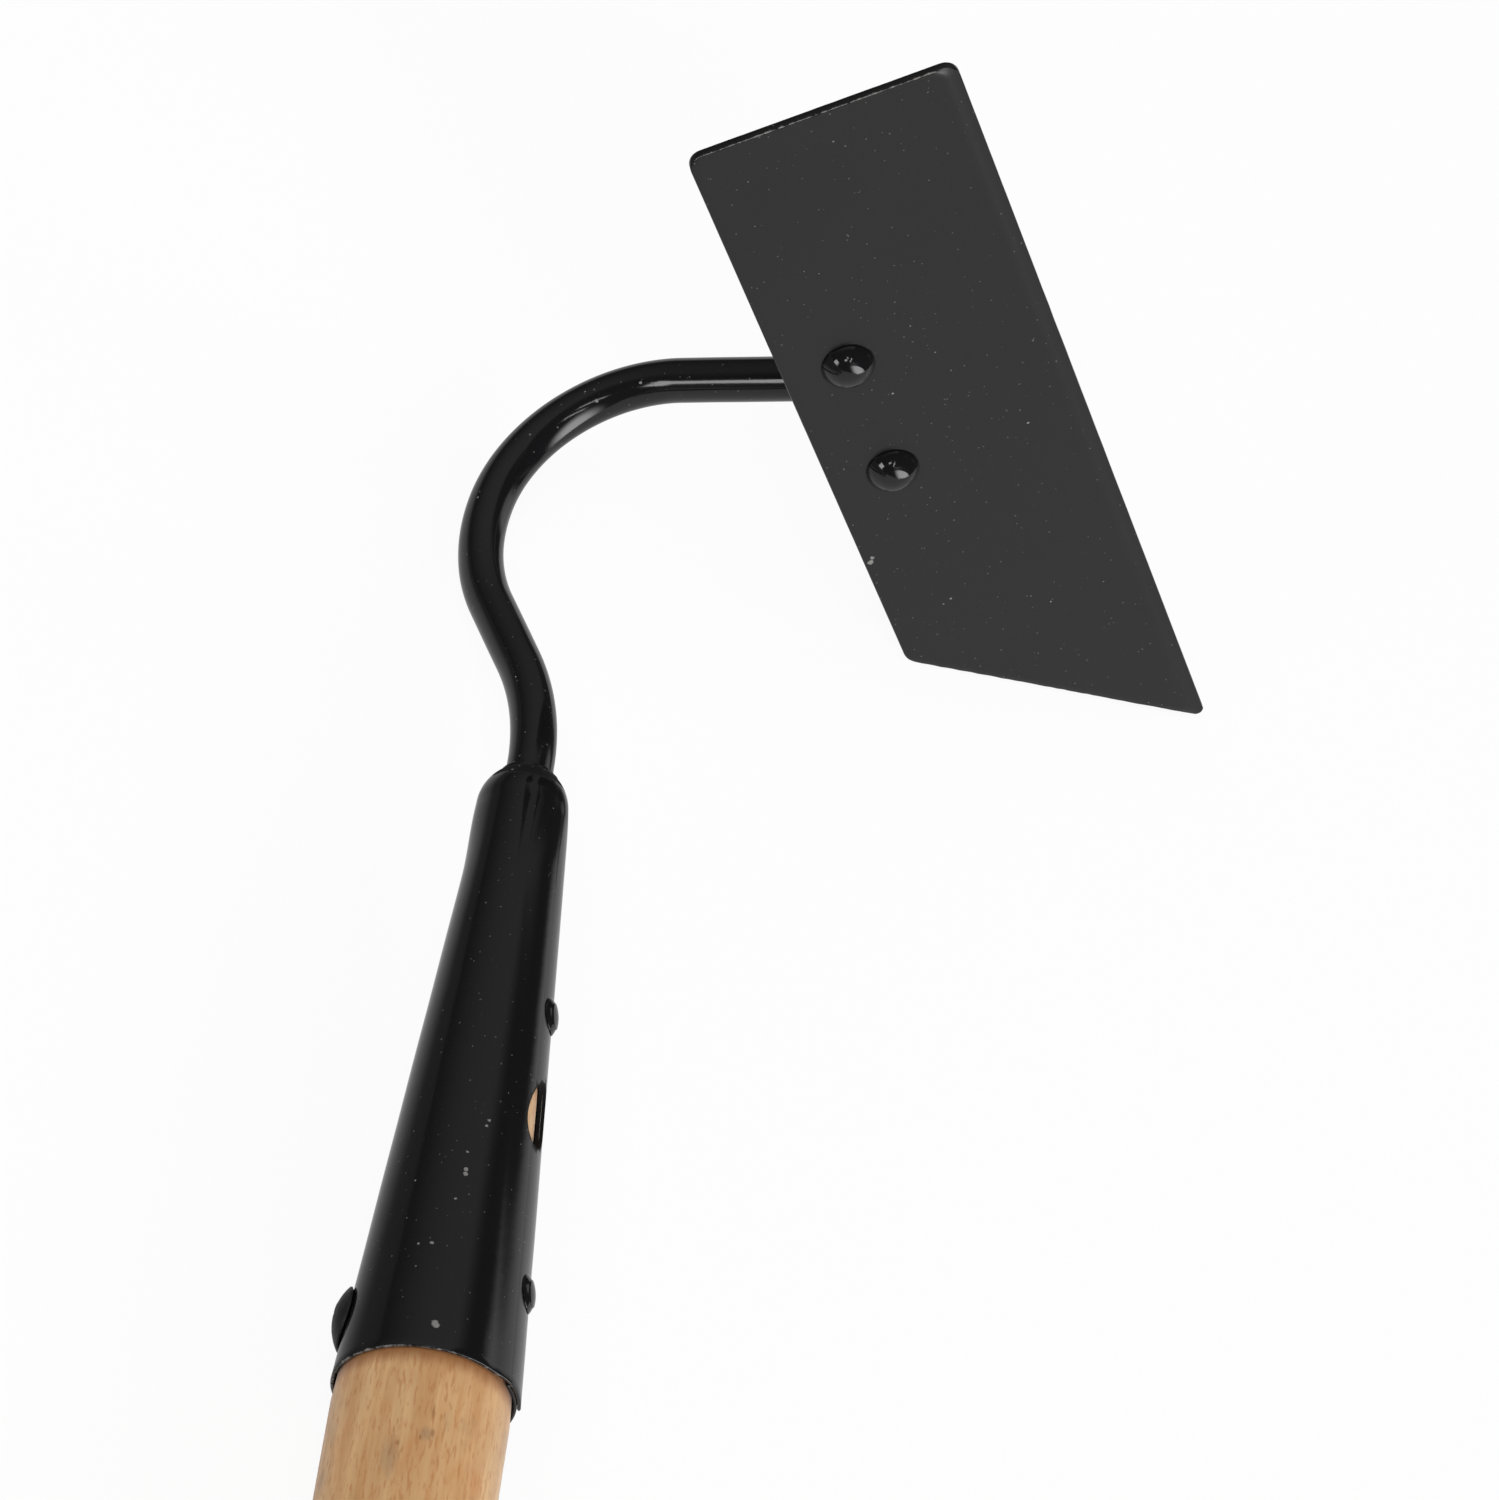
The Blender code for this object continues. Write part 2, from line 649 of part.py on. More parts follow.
def make_blade(hoe):
    """Make the plate with its pointed end, edge bevel and rivet holes."""
    radii = (BLADE_SQUARE_RADIUS, BLADE_SQUARE_RADIUS, BLADE_POINT_RADIUS, BLADE_HEEL_RADIUS)
    full = rounded_outline(blade_corners(0.0), radii)
    drawn = rounded_outline(blade_corners(BEVEL_WIDTH), radii)
    frame = blade_frame()
    sheet = plate([(drawn, 0.0), (full, BEVEL_DEPTH), (full, BLADE_THICKNESS)])
    blade = make_object("blade", sheet, hoe, frame, BLACK_PAINT)
    for name, along in rivet_rows():
        hole = cylinder(BLADE_RIVET_SHANK / 2.0 + GAP, -CUT_MARGIN, BLADE_THICKNESS + CUT_MARGIN)
        placement = frame @ Matrix.Translation((0.0, along, 0.0))
        cut(blade, make_cutter(name + "_blade_hole", hole, hoe, placement))


def make_blade_rivets(hoe):
    """Make the two round-head rivets through blade and foot."""
    shank = BLADE_RIVET_SHANK / 2.0
    tail = BLADE_RIVET_TAIL / 2.0
    tail_base = foot_back() + GAP
    dome = arc_profile(BLADE_RIVET_HEAD / 2.0, BLADE_RIVET_HEAD_HEIGHT, -GAP, -1.0)
    profile = dome[::-1] + [
        (shank, -GAP),
        (shank, tail_base),
        (tail, tail_base),
        (tail, tail_base + BLADE_RIVET_TAIL_HEIGHT / 2.0),
        (BLADE_RIVET_TAIL_CROWN / 2.0, tail_base + BLADE_RIVET_TAIL_HEIGHT),
    ]
    for name, along in rivet_rows():
        placement = blade_frame() @ Matrix.Translation((0.0, along, 0.0))
        make_object(name, turned(profile), hoe, placement, BLACK_PAINT)


# Rest on the floor

def support_heights(up):
    """Return how low the neck, the blade and the butt reach along an upward direction."""
    neck = min(point.to_3d().dot(up) for point, heading in neck_course()) - NECK_DIAMETER / 2.0
    frame = blade_frame()
    corners = [
        frame @ Vector((x, y, depth))
        for x, y in blade_corners(0.0) for depth in (0.0, BLADE_THICKNESS)
    ]
    blade = min(corner.dot(up) for corner in corners)
    across = math.sqrt(max(1.0 - up.x ** 2, 0.0))
    butt = (handle_butt() + HANDLE_BUTT_ROUNDING) * up.x - HANDLE_DIAMETER / 2.0 * across
    return neck, blade, butt


def upward(roll, pitch):
    """Return the floor's normal in the hoe's own axes."""
    return Vector((math.sin(pitch), math.cos(pitch) * math.cos(roll), math.cos(pitch) * math.sin(roll)))


def settled_pitch(roll):
    """Return the pitch at which the butt and the lowest point of the neck are level."""
    low, high = REST_PITCH_RANGE
    for _ in range(REST_ITERATIONS):
        pitch = (low + high) / 2.0
        neck, _blade, butt = support_heights(upward(roll, pitch))
        if butt < neck:
            high = pitch
        else:
            low = pitch
    return pitch


def rest_rotation():
    """Return the rotation that lays neck, blade corner and butt on one floor."""
    low, high = REST_ROLL_RANGE
    for _ in range(REST_ITERATIONS):
        roll = (low + high) / 2.0
        neck, blade, _butt = support_heights(upward(roll, settled_pitch(roll)))
        if blade < neck:
            low = roll
        else:
            high = roll
    up = upward(roll, settled_pitch(roll))
    lengthwise = (Vector((1.0, 0.0, 0.0)) - up * up.x).normalized()
    return Matrix((lengthwise, up.cross(lengthwise), up))


def lay_down(hoe):
    """Turn the hoe to its rest and centre its box over the origin."""
    rotation = rest_rotation()
    hoe.matrix_world = rotation.to_4x4()
    bpy.context.view_layer.update()
    graph = bpy.context.evaluated_depsgraph_get()
    points = []
    for piece in hoe.children:
        if piece.hide_render:
            continue
        evaluated = piece.evaluated_get(graph)
        mesh = evaluated.to_mesh()
        points += [evaluated.matrix_world @ vert.co for vert in mesh.vertices]
        evaluated.to_mesh_clear()
    lows = [min(point[axis] for point in points) for axis in range(3)]
    highs = [max(point[axis] for point in points) for axis in range(3)]
    hoe.location = (-(lows[0] + highs[0]) / 2.0, -(lows[1] + highs[1]) / 2.0, -lows[2])
    bpy.context.view_layer.update()


def main():
    """Build the hoe and lay it down."""
    for old in list(bpy.data.objects):
        bpy.data.objects.remove(old, do_unlink=True)
    hoe = bpy.data.objects.new("hoe", None)
    bpy.context.scene.collection.objects.link(hoe)
    make_handle(hoe)
    make_socket(hoe)
    make_screw(hoe)
    make_seam_rivets(hoe)
    make_neck(hoe)
    make_beads(hoe)
    make_foot(hoe)
    make_blade(hoe)
    make_blade_rivets(hoe)
    lay_down(hoe)


main()
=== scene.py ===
"""Draw hoe: gloss black blade, gooseneck rod and rolled socket on a beech handle.

Places are worked out in the hoe's own axes: +X runs from the socket's mouth to the head, +Y towards
the cutting edge and +Z along the blade towards its point, from an origin at the mouth's centre.
"""

import json
import math

import bmesh
import bpy
from mathutils import Matrix, Vector, noise


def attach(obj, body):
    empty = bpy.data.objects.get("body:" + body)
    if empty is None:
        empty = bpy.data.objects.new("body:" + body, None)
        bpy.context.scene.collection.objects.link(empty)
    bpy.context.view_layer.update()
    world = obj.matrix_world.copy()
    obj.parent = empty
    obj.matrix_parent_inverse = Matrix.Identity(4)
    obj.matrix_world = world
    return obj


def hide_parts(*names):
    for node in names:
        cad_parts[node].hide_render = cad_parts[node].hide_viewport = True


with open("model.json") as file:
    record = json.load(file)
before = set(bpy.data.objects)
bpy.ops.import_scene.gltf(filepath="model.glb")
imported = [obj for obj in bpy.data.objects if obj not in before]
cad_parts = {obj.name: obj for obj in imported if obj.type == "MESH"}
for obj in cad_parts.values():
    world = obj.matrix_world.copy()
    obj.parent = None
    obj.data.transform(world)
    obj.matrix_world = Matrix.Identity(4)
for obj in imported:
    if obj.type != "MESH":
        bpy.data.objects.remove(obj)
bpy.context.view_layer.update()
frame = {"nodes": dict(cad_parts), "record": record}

bl_info = {
    "name": "Draw Hoe",
    "version": (1, 0, 0),
    "blender": (4, 5, 0),
    "location": "3D View > Sidebar > Hoe",
    "description": "Builds a draw hoe with its paint, wood and studio",
    "category": "Object",
}

MM = 0.001
GAP = 0.3 * MM
BODY = "root"
MERGE = 1e-6
SMOOTH_ANGLE = math.radians(35.0)
# Place of the blade's mount on its front face, from the middle of its rivets
MOUNT_PLACE = (12.0 * MM, 42.0 * MM)
# Turns a piece's Z axis to the hoe's length
ALONG_X = Matrix.Rotation(math.pi / 2.0, 4, "Y")


# Sizes and colours

def length(name, description, millimetres):
    """Return a length property, given in millimetres."""
    return bpy.props.FloatProperty(name=name, description=description, min=0.0, precision=5,
                                   default=millimetres * MM, subtype="DISTANCE", unit="LENGTH")


def angle(name, description, degrees):
    """Return an angle property, given in degrees."""
    return bpy.props.FloatProperty(name=name, description=description, subtype="ANGLE",
                                   default=math.radians(degrees), unit="ROTATION")


def colour(name, description, red, green, blue):
    """Return a linear colour property."""
    return bpy.props.FloatVectorProperty(name=name, description=description, size=3, min=0.0,
                                         max=1.0, default=(red, green, blue), subtype="COLOR")


def share(name, description, amount):
    """Return a plain factor property."""
    return bpy.props.FloatProperty(name=name, description=description, default=amount, min=0.0,
                                   max=1.0, subtype="FACTOR", unit="NONE")


def count(name, description, number):
    """Return a whole number property."""
    return bpy.props.IntProperty(name=name, description=description, default=number, min=1)


class HandleSizes(bpy.types.PropertyGroup):
    """Round wooden handle."""
    diameter: length("Diameter", "Thickness of the wood below the socket", 28.0)
    length: length("Length", "Whole length of the wood, with the cone in the socket", 1300.0)
    butt_rounding: length("Butt rounding", "Radius around the free end", 3.0)
    tip_chamfer: length("Tip chamfer", "Chamfer on the hidden end", 1.5)
    clearance: length("Clearance", "Room between the wood's cone and the sheet", 0.25)
    tip_depth: length("Tip depth", "How far the wood stops short of the socket's lip", 32.5)
    segments: count("Segments", "Sides around the wood", 128)


class SocketSizes(bpy.types.PropertyGroup):
    """Rolled sheet socket."""
    sheet: length("Sheet", "Thickness of the sheet", 0.6)
    mouth_bore: length("Mouth bore", "Inner diameter at the mouth", 28.0)
    shoulder_bore: length("Shoulder bore", "Inner diameter where the shoulder starts", 13.2)
    cone_length: length("Cone length", "Length of the straight taper", 115.0)
    shoulder_length: length("Shoulder length", "Length over which the tip is drawn in", 6.3)
    shoulder_sweep: angle("Shoulder sweep", "How far the shoulder turns in", 78.0)
    lip_length: length("Lip length", "Straight end around the rod", 0.6)
    lap_width: length("Lap width", "How far the sheet's edges overlap", 7.0)
    lap_clearance: length("Lap clearance", "Room between the two layers, filled by paint", 0.03)
    lap_ramp: length("Lap ramp", "Width over which the outer layer climbs", 5.0)
    lap_runout: length("Lap run-out", "Length over which the lap narrows at the tip", 14.0)
    lap_closing: length("Lap closing", "Length in which the outer layer sinks on the shoulder", 6.0)
    seam_gap: length("Seam gap", "Open seam on the shoulder", 0.4)
    seam_strip: length("Seam strip", "Narrowest strip kept along each edge", 0.6)
    seam_azimuth: angle("Seam azimuth", "Place of the seam around the socket", -10.0)
    eye_azimuth: angle("Eye azimuth", "Place of the eye around the socket", -3.0)
    eye_station: length("Eye station", "Middle of the eye from the mouth", 52.0)
    eye_length: length("Eye length", "Size of the eye along the socket", 14.2)
    eye_width: length("Eye width", "Size of the eye around the socket", 7.2)
    eye_tilt: angle("Eye tilt", "Lean of the eye's long axis", -14.0)
    bead_width: length("Bead width", "Width of the weld around the rod", 0.8)
    bead_height: length("Bead height", "Height of the weld on the lip", 1.5)


class NeckSizes(bpy.types.PropertyGroup):
    """Gooseneck rod and the foot at its end."""
    diameter: length("Diameter", "Thickness of the rod", 8.0)
    tang: length("Tang", "Length of rod inside the socket", 22.0)
    end_straight: length("End straight", "Straight length at the foot", 1.3)
    sides: count("Sides", "Sides around the rod", 96)
    foot_width: length("Foot width", "Width of the flat bar", 16.0)
    foot_length: length("Foot length", "Length of the flat bar", 43.0)
    foot_thickness: length("Foot thickness", "Thickness of the flat bar", 3.0)
    foot_corner: length("Foot corner", "Corner radius of the flat bar", 5.0)
    bead_width: length("Bead width", "Width of the weld on the foot", 2.2)
    bead_height: length("Bead height", "Height of the weld on the foot", 1.8)


class BladeSizes(bpy.types.PropertyGroup):
    """Flat blade with one square and one pointed end."""
    thickness: length("Thickness", "Thickness of the plate", 1.8)
    width: length("Width", "From the neck's edge to the cutting edge", 47.2)
    neck_edge: length("Neck edge", "Length of the edge beside the rivets", 131.0)
    cutting_edge: length("Cutting edge", "Length of the edge that cuts", 172.5)
    neck_offset: length("Neck offset", "From the square end to the middle of the rivets", 69.8)
    square_radius: length("Square radius", "Corner radius at the square end", 2.6)
    heel_radius: length("Heel radius", "Corner radius where the slant starts", 4.0)
    point_radius: length("Point radius", "Radius of the point", 1.2)
    bevel_width: length("Bevel width", "Width of the bevel on the cutting edge", 2.0)
    bevel_depth: length("Bevel depth", "Depth of the bevel on the cutting edge", 0.18)
    edge_radius: length("Edge radius", "Rounding of the sheared edges", 0.28)
    rivet_inset: length("Rivet inset", "From the neck's edge to the rivets", 11.4)
    rivet_pitch: length("Rivet pitch", "Distance between the rivets", 27.4)


class FastenerSizes(bpy.types.PropertyGroup):
    """Rivets and the screw."""
    blade_shank: length("Blade rivet shank", "Diameter of the shank", 5.0)
    blade_head: length("Blade rivet head", "Diameter of the round head", 9.7)
    blade_head_height: length("Blade rivet head height", "Height of the round head", 3.2)
    blade_tail: length("Blade rivet tail", "Diameter of the upset tail", 8.0)
    blade_tail_height: length("Blade rivet tail height", "Height of the upset tail", 2.0)
    blade_tail_crown: length("Blade rivet tail crown", "Diameter of the tail's flat", 5.6)
    seam_shank: length("Seam rivet shank", "Diameter of the shank", 4.0)
    seam_head: length("Seam rivet head", "Diameter of the low head", 6.6)
    seam_head_height: length("Seam rivet head height", "Height of the low head", 0.8)
    seam_tail: length("Seam rivet tail", "Diameter of the upset tail", 5.6)
    seam_tail_height: length("Seam rivet tail height", "Height of the upset tail", 0.8)
    seam_tail_crown: length("Seam rivet tail crown", "Diameter of the tail's flat", 4.5)
    seam_lower: length("Lower seam rivet", "Station from the mouth", 19.0)
    seam_upper: length("Upper seam rivet", "Station from the mouth", 72.6)
    screw_station: length("Screw station", "Station from the mouth", 11.8)
    screw_azimuth: angle("Screw azimuth", "Place of the screw around the socket", 159.0)
    screw_head: length("Screw head", "Diameter of the head", 10.6)
    screw_head_height: length("Screw head height", "Height of the head", 1.9)
    screw_shank: length("Screw shank", "Diameter of the shank", 4.5)
    screw_length: length("Screw length", "Length under the head", 20.0)
    screw_point: length("Screw point", "Length of the point", 4.0)
    screw_tip: length("Screw tip", "Diameter of the very tip", 0.45)
    recess_length: length("Recess length", "Length of each slot of the cross", 5.0)
    recess_width: length("Recess width", "Width of each slot of the cross", 1.1)
    recess_depth: length("Recess depth", "Depth of the cross", 1.4)
    unevenness: length("Unevenness", "How far hammered heads stray from round", 0.10)
    seed: count("Seed", "Seed of the unevenness", 7)


class Finishes(bpy.types.PropertyGroup):
    """Colours and wear."""
    paint: colour("Paint", "Gloss black enamel", 0.0052, 0.0052, 0.0057)
    # Also the colour of the painted highlight along the socket's rim and of the painted glints on
    # its shoulder
    bare_steel_and_highlight: colour("Bare steel", "Steel where the paint is chipped", 0.19, 0.185, 0.175)
    dust: colour("Dust", "Specks of dust on the paint", 0.20, 0.19, 0.17)
    screw: colour("Screw", "Satin black screw", 0.0065, 0.0065, 0.0070)
    wood_pale: colour("Pale wood", "Early wood of the beech", 0.570, 0.357, 0.172)
    wood_deep: colour("Deep wood", "Late wood of the beech", 0.460, 0.232, 0.086)
    wood_fleck: colour("Fleck", "Fine reddish rays in the beech", 0.390, 0.152, 0.044)
    wood_warm: colour("Warm wood", "Orange patches of the beech", 0.480, 0.225, 0.080)
    # Dark stain of the small marks, and the colour of the shade painted onto the wood below the
    # socket's rim
    stain_and_rim_shade: colour("Stained wood", "Wood darkened beside the rim", 0.230, 0.085, 0.022)
    grime: colour("Grime", "Grey rubbed into the wood", 0.150, 0.105, 0.075)
    gloss: share("Gloss roughness", "Roughness of the clean enamel", 0.10)
    dust_amount: share("Dust amount", "How much dust lies on the paint", 0.5)


class StageSettings(bpy.types.PropertyGroup):
    """Floor, lamps and camera."""
    floor_size: length("Floor size", "Side of the floor", 9000.0)
    floor_colour: colour("Floor colour", "Pale floor", 0.80, 0.80, 0.80)
    floor_glow: share("Floor glow", "Share of the floor that reads as plain white", 0.93)
    mirrored: share("Mirrored floor", "Brightness of the floor as gloss shows it", 0.60)
    focal_length: bpy.props.FloatProperty(name="Focal length", description="Lens of the camera",
                                          default=133.06, subtype="DISTANCE_CAMERA", unit="CAMERA")


class Hoe(bpy.types.PropertyGroup):
    """Everything that can be set on the hoe."""
    handle: bpy.props.PointerProperty(type=HandleSizes)
    socket: bpy.props.PointerProperty(type=SocketSizes)
    neck: bpy.props.PointerProperty(type=NeckSizes)
    blade: bpy.props.PointerProperty(type=BladeSizes)
    fasteners: bpy.props.PointerProperty(type=FastenerSizes)
    finishes: bpy.props.PointerProperty(type=Finishes)
    stage: bpy.props.PointerProperty(type=StageSettings)


def settings():
    """Return the scene's hoe settings."""
    return bpy.context.scene.draw_hoe


# The hoe's own axes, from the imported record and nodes

def mount(name):
    """Return a mount's place and axis."""
    found = next(entry for entry in frame["record"]["mounts"] if entry["name"] == name)
    return Vector(found["pos_m"]), Vector(found["axis"]).normalized()


def axes(x_axis, y_axis, z_axis, origin):
    """Return the placement that has the given axes and origin."""
    placement = Matrix((x_axis, y_axis, z_axis)).transposed().to_4x4()
    placement.translation = origin
    return placement


def hoe_axes():
    """Return the hoe's placement in the frame."""
    butt, butt_facing = mount("butt_face")
    along = -butt_facing
    facing = mount("blade_face")[1]
    across = (facing - along * facing.dot(along)).normalized()
    mouth = min((vert.co - butt).dot(along) for vert in frame["nodes"]["socket"].data.vertices)
    return axes(along, across, along.cross(across), butt + along * mouth)


HOE = hoe_axes()


def blade_axes():
    """Return the blade's placement in the hoe's axes: X to the cutting edge, Z into its back."""
    turn = HOE.inverted()
    place, facing = mount("blade_face")
    back = -(turn.to_3x3() @ facing).normalized()
    lengthwise = (Vector((0.0, 0.0, 1.0)) - back * back.z).normalized()
    crosswise = lengthwise.cross(back)
    middle = turn @ place - crosswise * MOUNT_PLACE[0] - lengthwise * MOUNT_PLACE[1]
    return axes(crosswise, lengthwise, back, middle)


BLADE = blade_axes()


# Node trees

class Value:
    """A node's output that takes part in arithmetic."""

    def __init__(self, graph, socket):
        self.graph = graph
        self.socket = socket

    def __add__(self, other):
        return self.graph.math("ADD", self, other)

    __radd__ = __add__

    def __sub__(self, other):
        return self.graph.math("SUBTRACT", self, other)

    def __rsub__(self, other):
        return self.graph.math("SUBTRACT", other, self)

    def __mul__(self, other):
        return self.graph.math("MULTIPLY", self, other)

    __rmul__ = __mul__

    def __truediv__(self, other):
        return self.graph.math("DIVIDE", self, other)


class Graph:
    """A node tree that is filled in from the source to the result."""

    def __init__(self, tree):
        self.tree = tree

    def add(self, kind, options=None, inputs=None, output=0):
        """Add a node: its settings first, then its values and links. Return one output."""
        node = self.tree.nodes.new(kind)
        for name, value in (options or {}).items():
            setattr(node, name, value)
        for key, value in (inputs or {}).items():
            self.feed(node.inputs[key], value)
        return Value(self, node.outputs[output])

    def feed(self, socket, value):
        """Link a value to a socket, or write it there."""
        if isinstance(value, Value):
            self.tree.links.new(value.socket, socket)
        elif socket.type == "RGBA" and len(value) == 3:
            socket.default_value = (*value, 1.0)
        else:
            socket.default_value = value

    def math(self, operation, *values):
        """Return a sum, product or other number."""
        return self.add("ShaderNodeMath", {"operation": operation}, dict(enumerate(values)))

    def vector(self, operation, *values, output=0):
        """Return a vector, or with output 1 a number, from vectors."""
        return self.add("ShaderNodeVectorMath", {"operation": operation},
                        dict(enumerate(values)), output)

    def mix(self, factor, first, second):
        """Blend two colours."""
        return self.add("ShaderNodeMix", {"data_type": "RGBA"}, {0: factor, 6: first, 7: second}, 2)

    def ease(self, value, low, high, start=0.0, end=1.0):
        """Return a smooth step from start to end as a value goes from low to high."""
        return self.add("ShaderNodeMapRange", {"interpolation_type": "SMOOTHSTEP"},
                        {"Value": value, "From Min": low, "From Max": high,
                         "To Min": start, "To Max": end})

    def noise(self, vector, scale, detail=2.0, roughness=0.5, output=0):
        """Return fractal noise, about 0.5, and with output 1 three numbers of it."""
        return self.add("ShaderNodeTexNoise", None,
                        {"Vector": vector, "Scale": scale, "Detail": detail,
                         "Roughness": roughness}, output)

    def bump(self, strength, distance, height, normal=None):
        """Return the surface's normal as a height bends it."""
        inputs = {"Strength": strength, "Distance": distance, "Height": height}
        if normal is not None:
            inputs["Normal"] = normal
        return self.add("ShaderNodeBump", None, inputs)

    def specks(self, vector, scale, radius, softness):
        """Return scattered round spots of unlike size."""
        cell = self.add("ShaderNodeTexVoronoi", None, {"Vector": vector, "Scale": scale})
        chance = self.add("ShaderNodeTexWhiteNoise", {"noise_dimensions": "3D"},
                          {"Vector": Value(self, cell.socket.node.outputs["Position"])})
        reach = chance * chance * chance * radius
        return self.ease(reach - cell, -softness, softness)

    def combine(self, x, y, z):
        """Return a vector of three numbers."""
        return self.add("ShaderNodeCombineXYZ", None, {0: x, 1: y, 2: z})

    def split(self, vector):
        """Return a vector's three numbers."""
        node = self.add("ShaderNodeSeparateXYZ", None, {0: vector}).socket.node
        return [Value(self, socket) for socket in node.outputs]


# Meshes

def ring(bm, points):
    """Add one loop of vertices."""
    return [bm.verts.new(point) for point in points]


def skin(bm, rings):
    """Join successive closed loops with quads."""
    for lower, upper in zip(rings, rings[1:]):
        size = len(lower)
        for index in range(size):
            after = (index + 1) % size
            bm.faces.new((lower[index], lower[after], upper[after], upper[index]))


def cap(bm, loop):
    """Close a loop with a fan around its centre."""
    centre = bm.verts.new(sum((vert.co for vert in loop), Vector()) / len(loop))
    for index, vert in enumerate(loop):
        bm.faces.new((vert, loop[(index + 1) % len(loop)], centre))


def turned(profile, segments):
    """Turn (radius, height) points about Z into a closed solid."""
    bm = bmesh.new()
    angles = [math.tau * index / segments for index in range(segments)]
    rings = [
        ring(bm, [(radius * math.cos(a), radius * math.sin(a), height) for a in angles])
        for radius, height in profile
    ]
    skin(bm, rings)
    cap(bm, rings[0])
    cap(bm, rings[-1])
    return bm


def prism(outline, bottom, top):
    """Stand a flat outline up between two heights."""
    bm = bmesh.new()
    rings = [ring(bm, [(point.x, point.y, height) for point in outline])
             for height in (bottom, top)]
    skin(bm, rings)
    for loop in rings:
        bm.faces.new(loop)
    return bm


def to_mesh(bm, name, placement=None):
    """Turn a bmesh into a smooth mesh whose faces point outwards."""
    bmesh.ops.recalc_face_normals(bm, faces=bm.faces)
    mesh = bpy.data.meshes.new(name)
    bm.to_mesh(mesh)
    bm.free()
    if placement is not None:
        mesh.transform(placement)
    mesh.shade_smooth()
    mesh.set_sharp_from_angle(angle=SMOOTH_ANGLE)
    return mesh


def show(name, data):
    """Put a mesh, a lamp or a camera in the scene as an object."""
    piece = bpy.data.objects.new(name, data)
    bpy.context.scene.collection.objects.link(piece)
    return piece


def evaluated_mesh(piece):
    """Return an object's mesh after its modifiers and remove the object."""
    bpy.context.view_layer.update()
    graph = bpy.context.evaluated_depsgraph_get()
    mesh = bpy.data.meshes.new_from_object(piece.evaluated_get(graph), depsgraph=graph)
    bpy.data.objects.remove(piece, do_unlink=True)
    return mesh


def carved(mesh, cutters):
    """Subtract closed meshes from a mesh."""
    piece = show(mesh.name, mesh)
    tools = [show(cutter.name, cutter) for cutter in cutters]
    for tool in tools:
        boolean = piece.modifiers.new(tool.name, "BOOLEAN")
        boolean.operation = "DIFFERENCE"
        boolean.solver = "EXACT"
        boolean.object = tool
    result = evaluated_mesh(piece)
    for tool in tools:
        bpy.data.objects.remove(tool, do_unlink=True)
    result.set_sharp_from_angle(angle=SMOOTH_ANGLE)
    return result


def place_piece(name, mesh, material, slot, *nodes):
    """Put a finished mesh, given in the hoe's axes, on the body in place of its nodes."""
    mesh.transform(HOE)
    mesh.name = name
    mesh.materials.clear()
    mesh.materials.append(material)
    piece = show(name, mesh)
    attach(piece, BODY)
    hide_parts(*nodes)


def write_attribute(mesh, name, values):
    """Store one number on each vertex."""
    layer = mesh.attributes.new(name, "FLOAT", "POINT")
    layer.data.foreach_set("value", values)


# Small sums

def clamped(value):
    """Return a number kept from 0 to 1."""
    return min(max(value, 0.0), 1.0)


def softened(part):
    """Return a share from 0 to 1 that starts and ends gently."""
    return part * part * (3.0 - 2.0 * part)


def turned_by(azimuth, middle):
    """Return the angle from a middle to an azimuth, up to half a turn either way."""
    return (azimuth - middle + math.pi) % math.tau - math.pi


def heading(azimuth, elevation):
    """Return the direction at an azimuth and elevation."""
    level = math.cos(elevation)
    return Vector((level * math.cos(azimuth), level * math.sin(azimuth), math.sin(elevation)))


# Places on the socket

HOLE_SEGMENTS = 48
CUT_MARGIN = 1.0 * MM
ARC_STEPS = 12


def bore_radius(station):
    """Return the bore's radius on the cone, at a distance from the mouth."""
    sizes = settings().socket
    mouth = sizes.mouth_bore / 2.0
    return mouth + (sizes.shoulder_bore / 2.0 - mouth) * station / sizes.cone_length


def socket_length():
    """Return the distance from the mouth to the lip's end."""
    sizes = settings().socket
    return sizes.cone_length + sizes.shoulder_length + sizes.lip_length


def around(azimuth, radius, station):
    """Return the point at an azimuth and radius about the handle's axis."""
    return Vector((station, radius * math.cos(azimuth), -radius * math.sin(azimuth)))


def wall_frame(azimuth, station):
    """Return a placement on the bore whose Z axis is the wall's outward normal."""
    sizes = settings().socket
    slope = math.atan2(sizes.mouth_bore - sizes.shoulder_bore, 2.0 * sizes.cone_length)
    normal = around(azimuth, 1.0, 0.0) * math.cos(slope) + Vector((math.sin(slope), 0.0, 0.0))
    side = Vector((1.0, 0.0, 0.0)).cross(normal).normalized()
    return axes(side.cross(normal), side, normal, around(azimuth, bore_radius(station), station))


def tail_drop(station):
    """Return how far a seam rivet's tail lies under the bore, clear of the curved wall."""
    bore = bore_radius(station)
    tail = settings().fasteners.seam_tail / 2.0
    return bore - math.sqrt(bore ** 2 - tail ** 2) + GAP


def hole_cutter(name, placement, radius, bottom, top):
    """Return a round cutter on a placement."""
    return to_mesh(turned([(radius, bottom), (radius, top)], HOLE_SEGMENTS), name, placement)


def dome(radius, height, base):
    """Return a spherical cap's profile from its rim to just off its crown."""
    sphere = (radius ** 2 + height ** 2) / (2.0 * height)
    half = math.asin(min(radius / sphere, 1.0))
    angles = [half * (1.0 - index / ARC_STEPS) for index in range(ARC_STEPS)]
    return [(sphere * math.sin(a), base + sphere * (math.cos(a) - math.cos(half))) for a in angles]


# Handle

BUTT_STEPS = 8
HANDLE_RING = 20.0 * MM
CONE_RINGS = 6


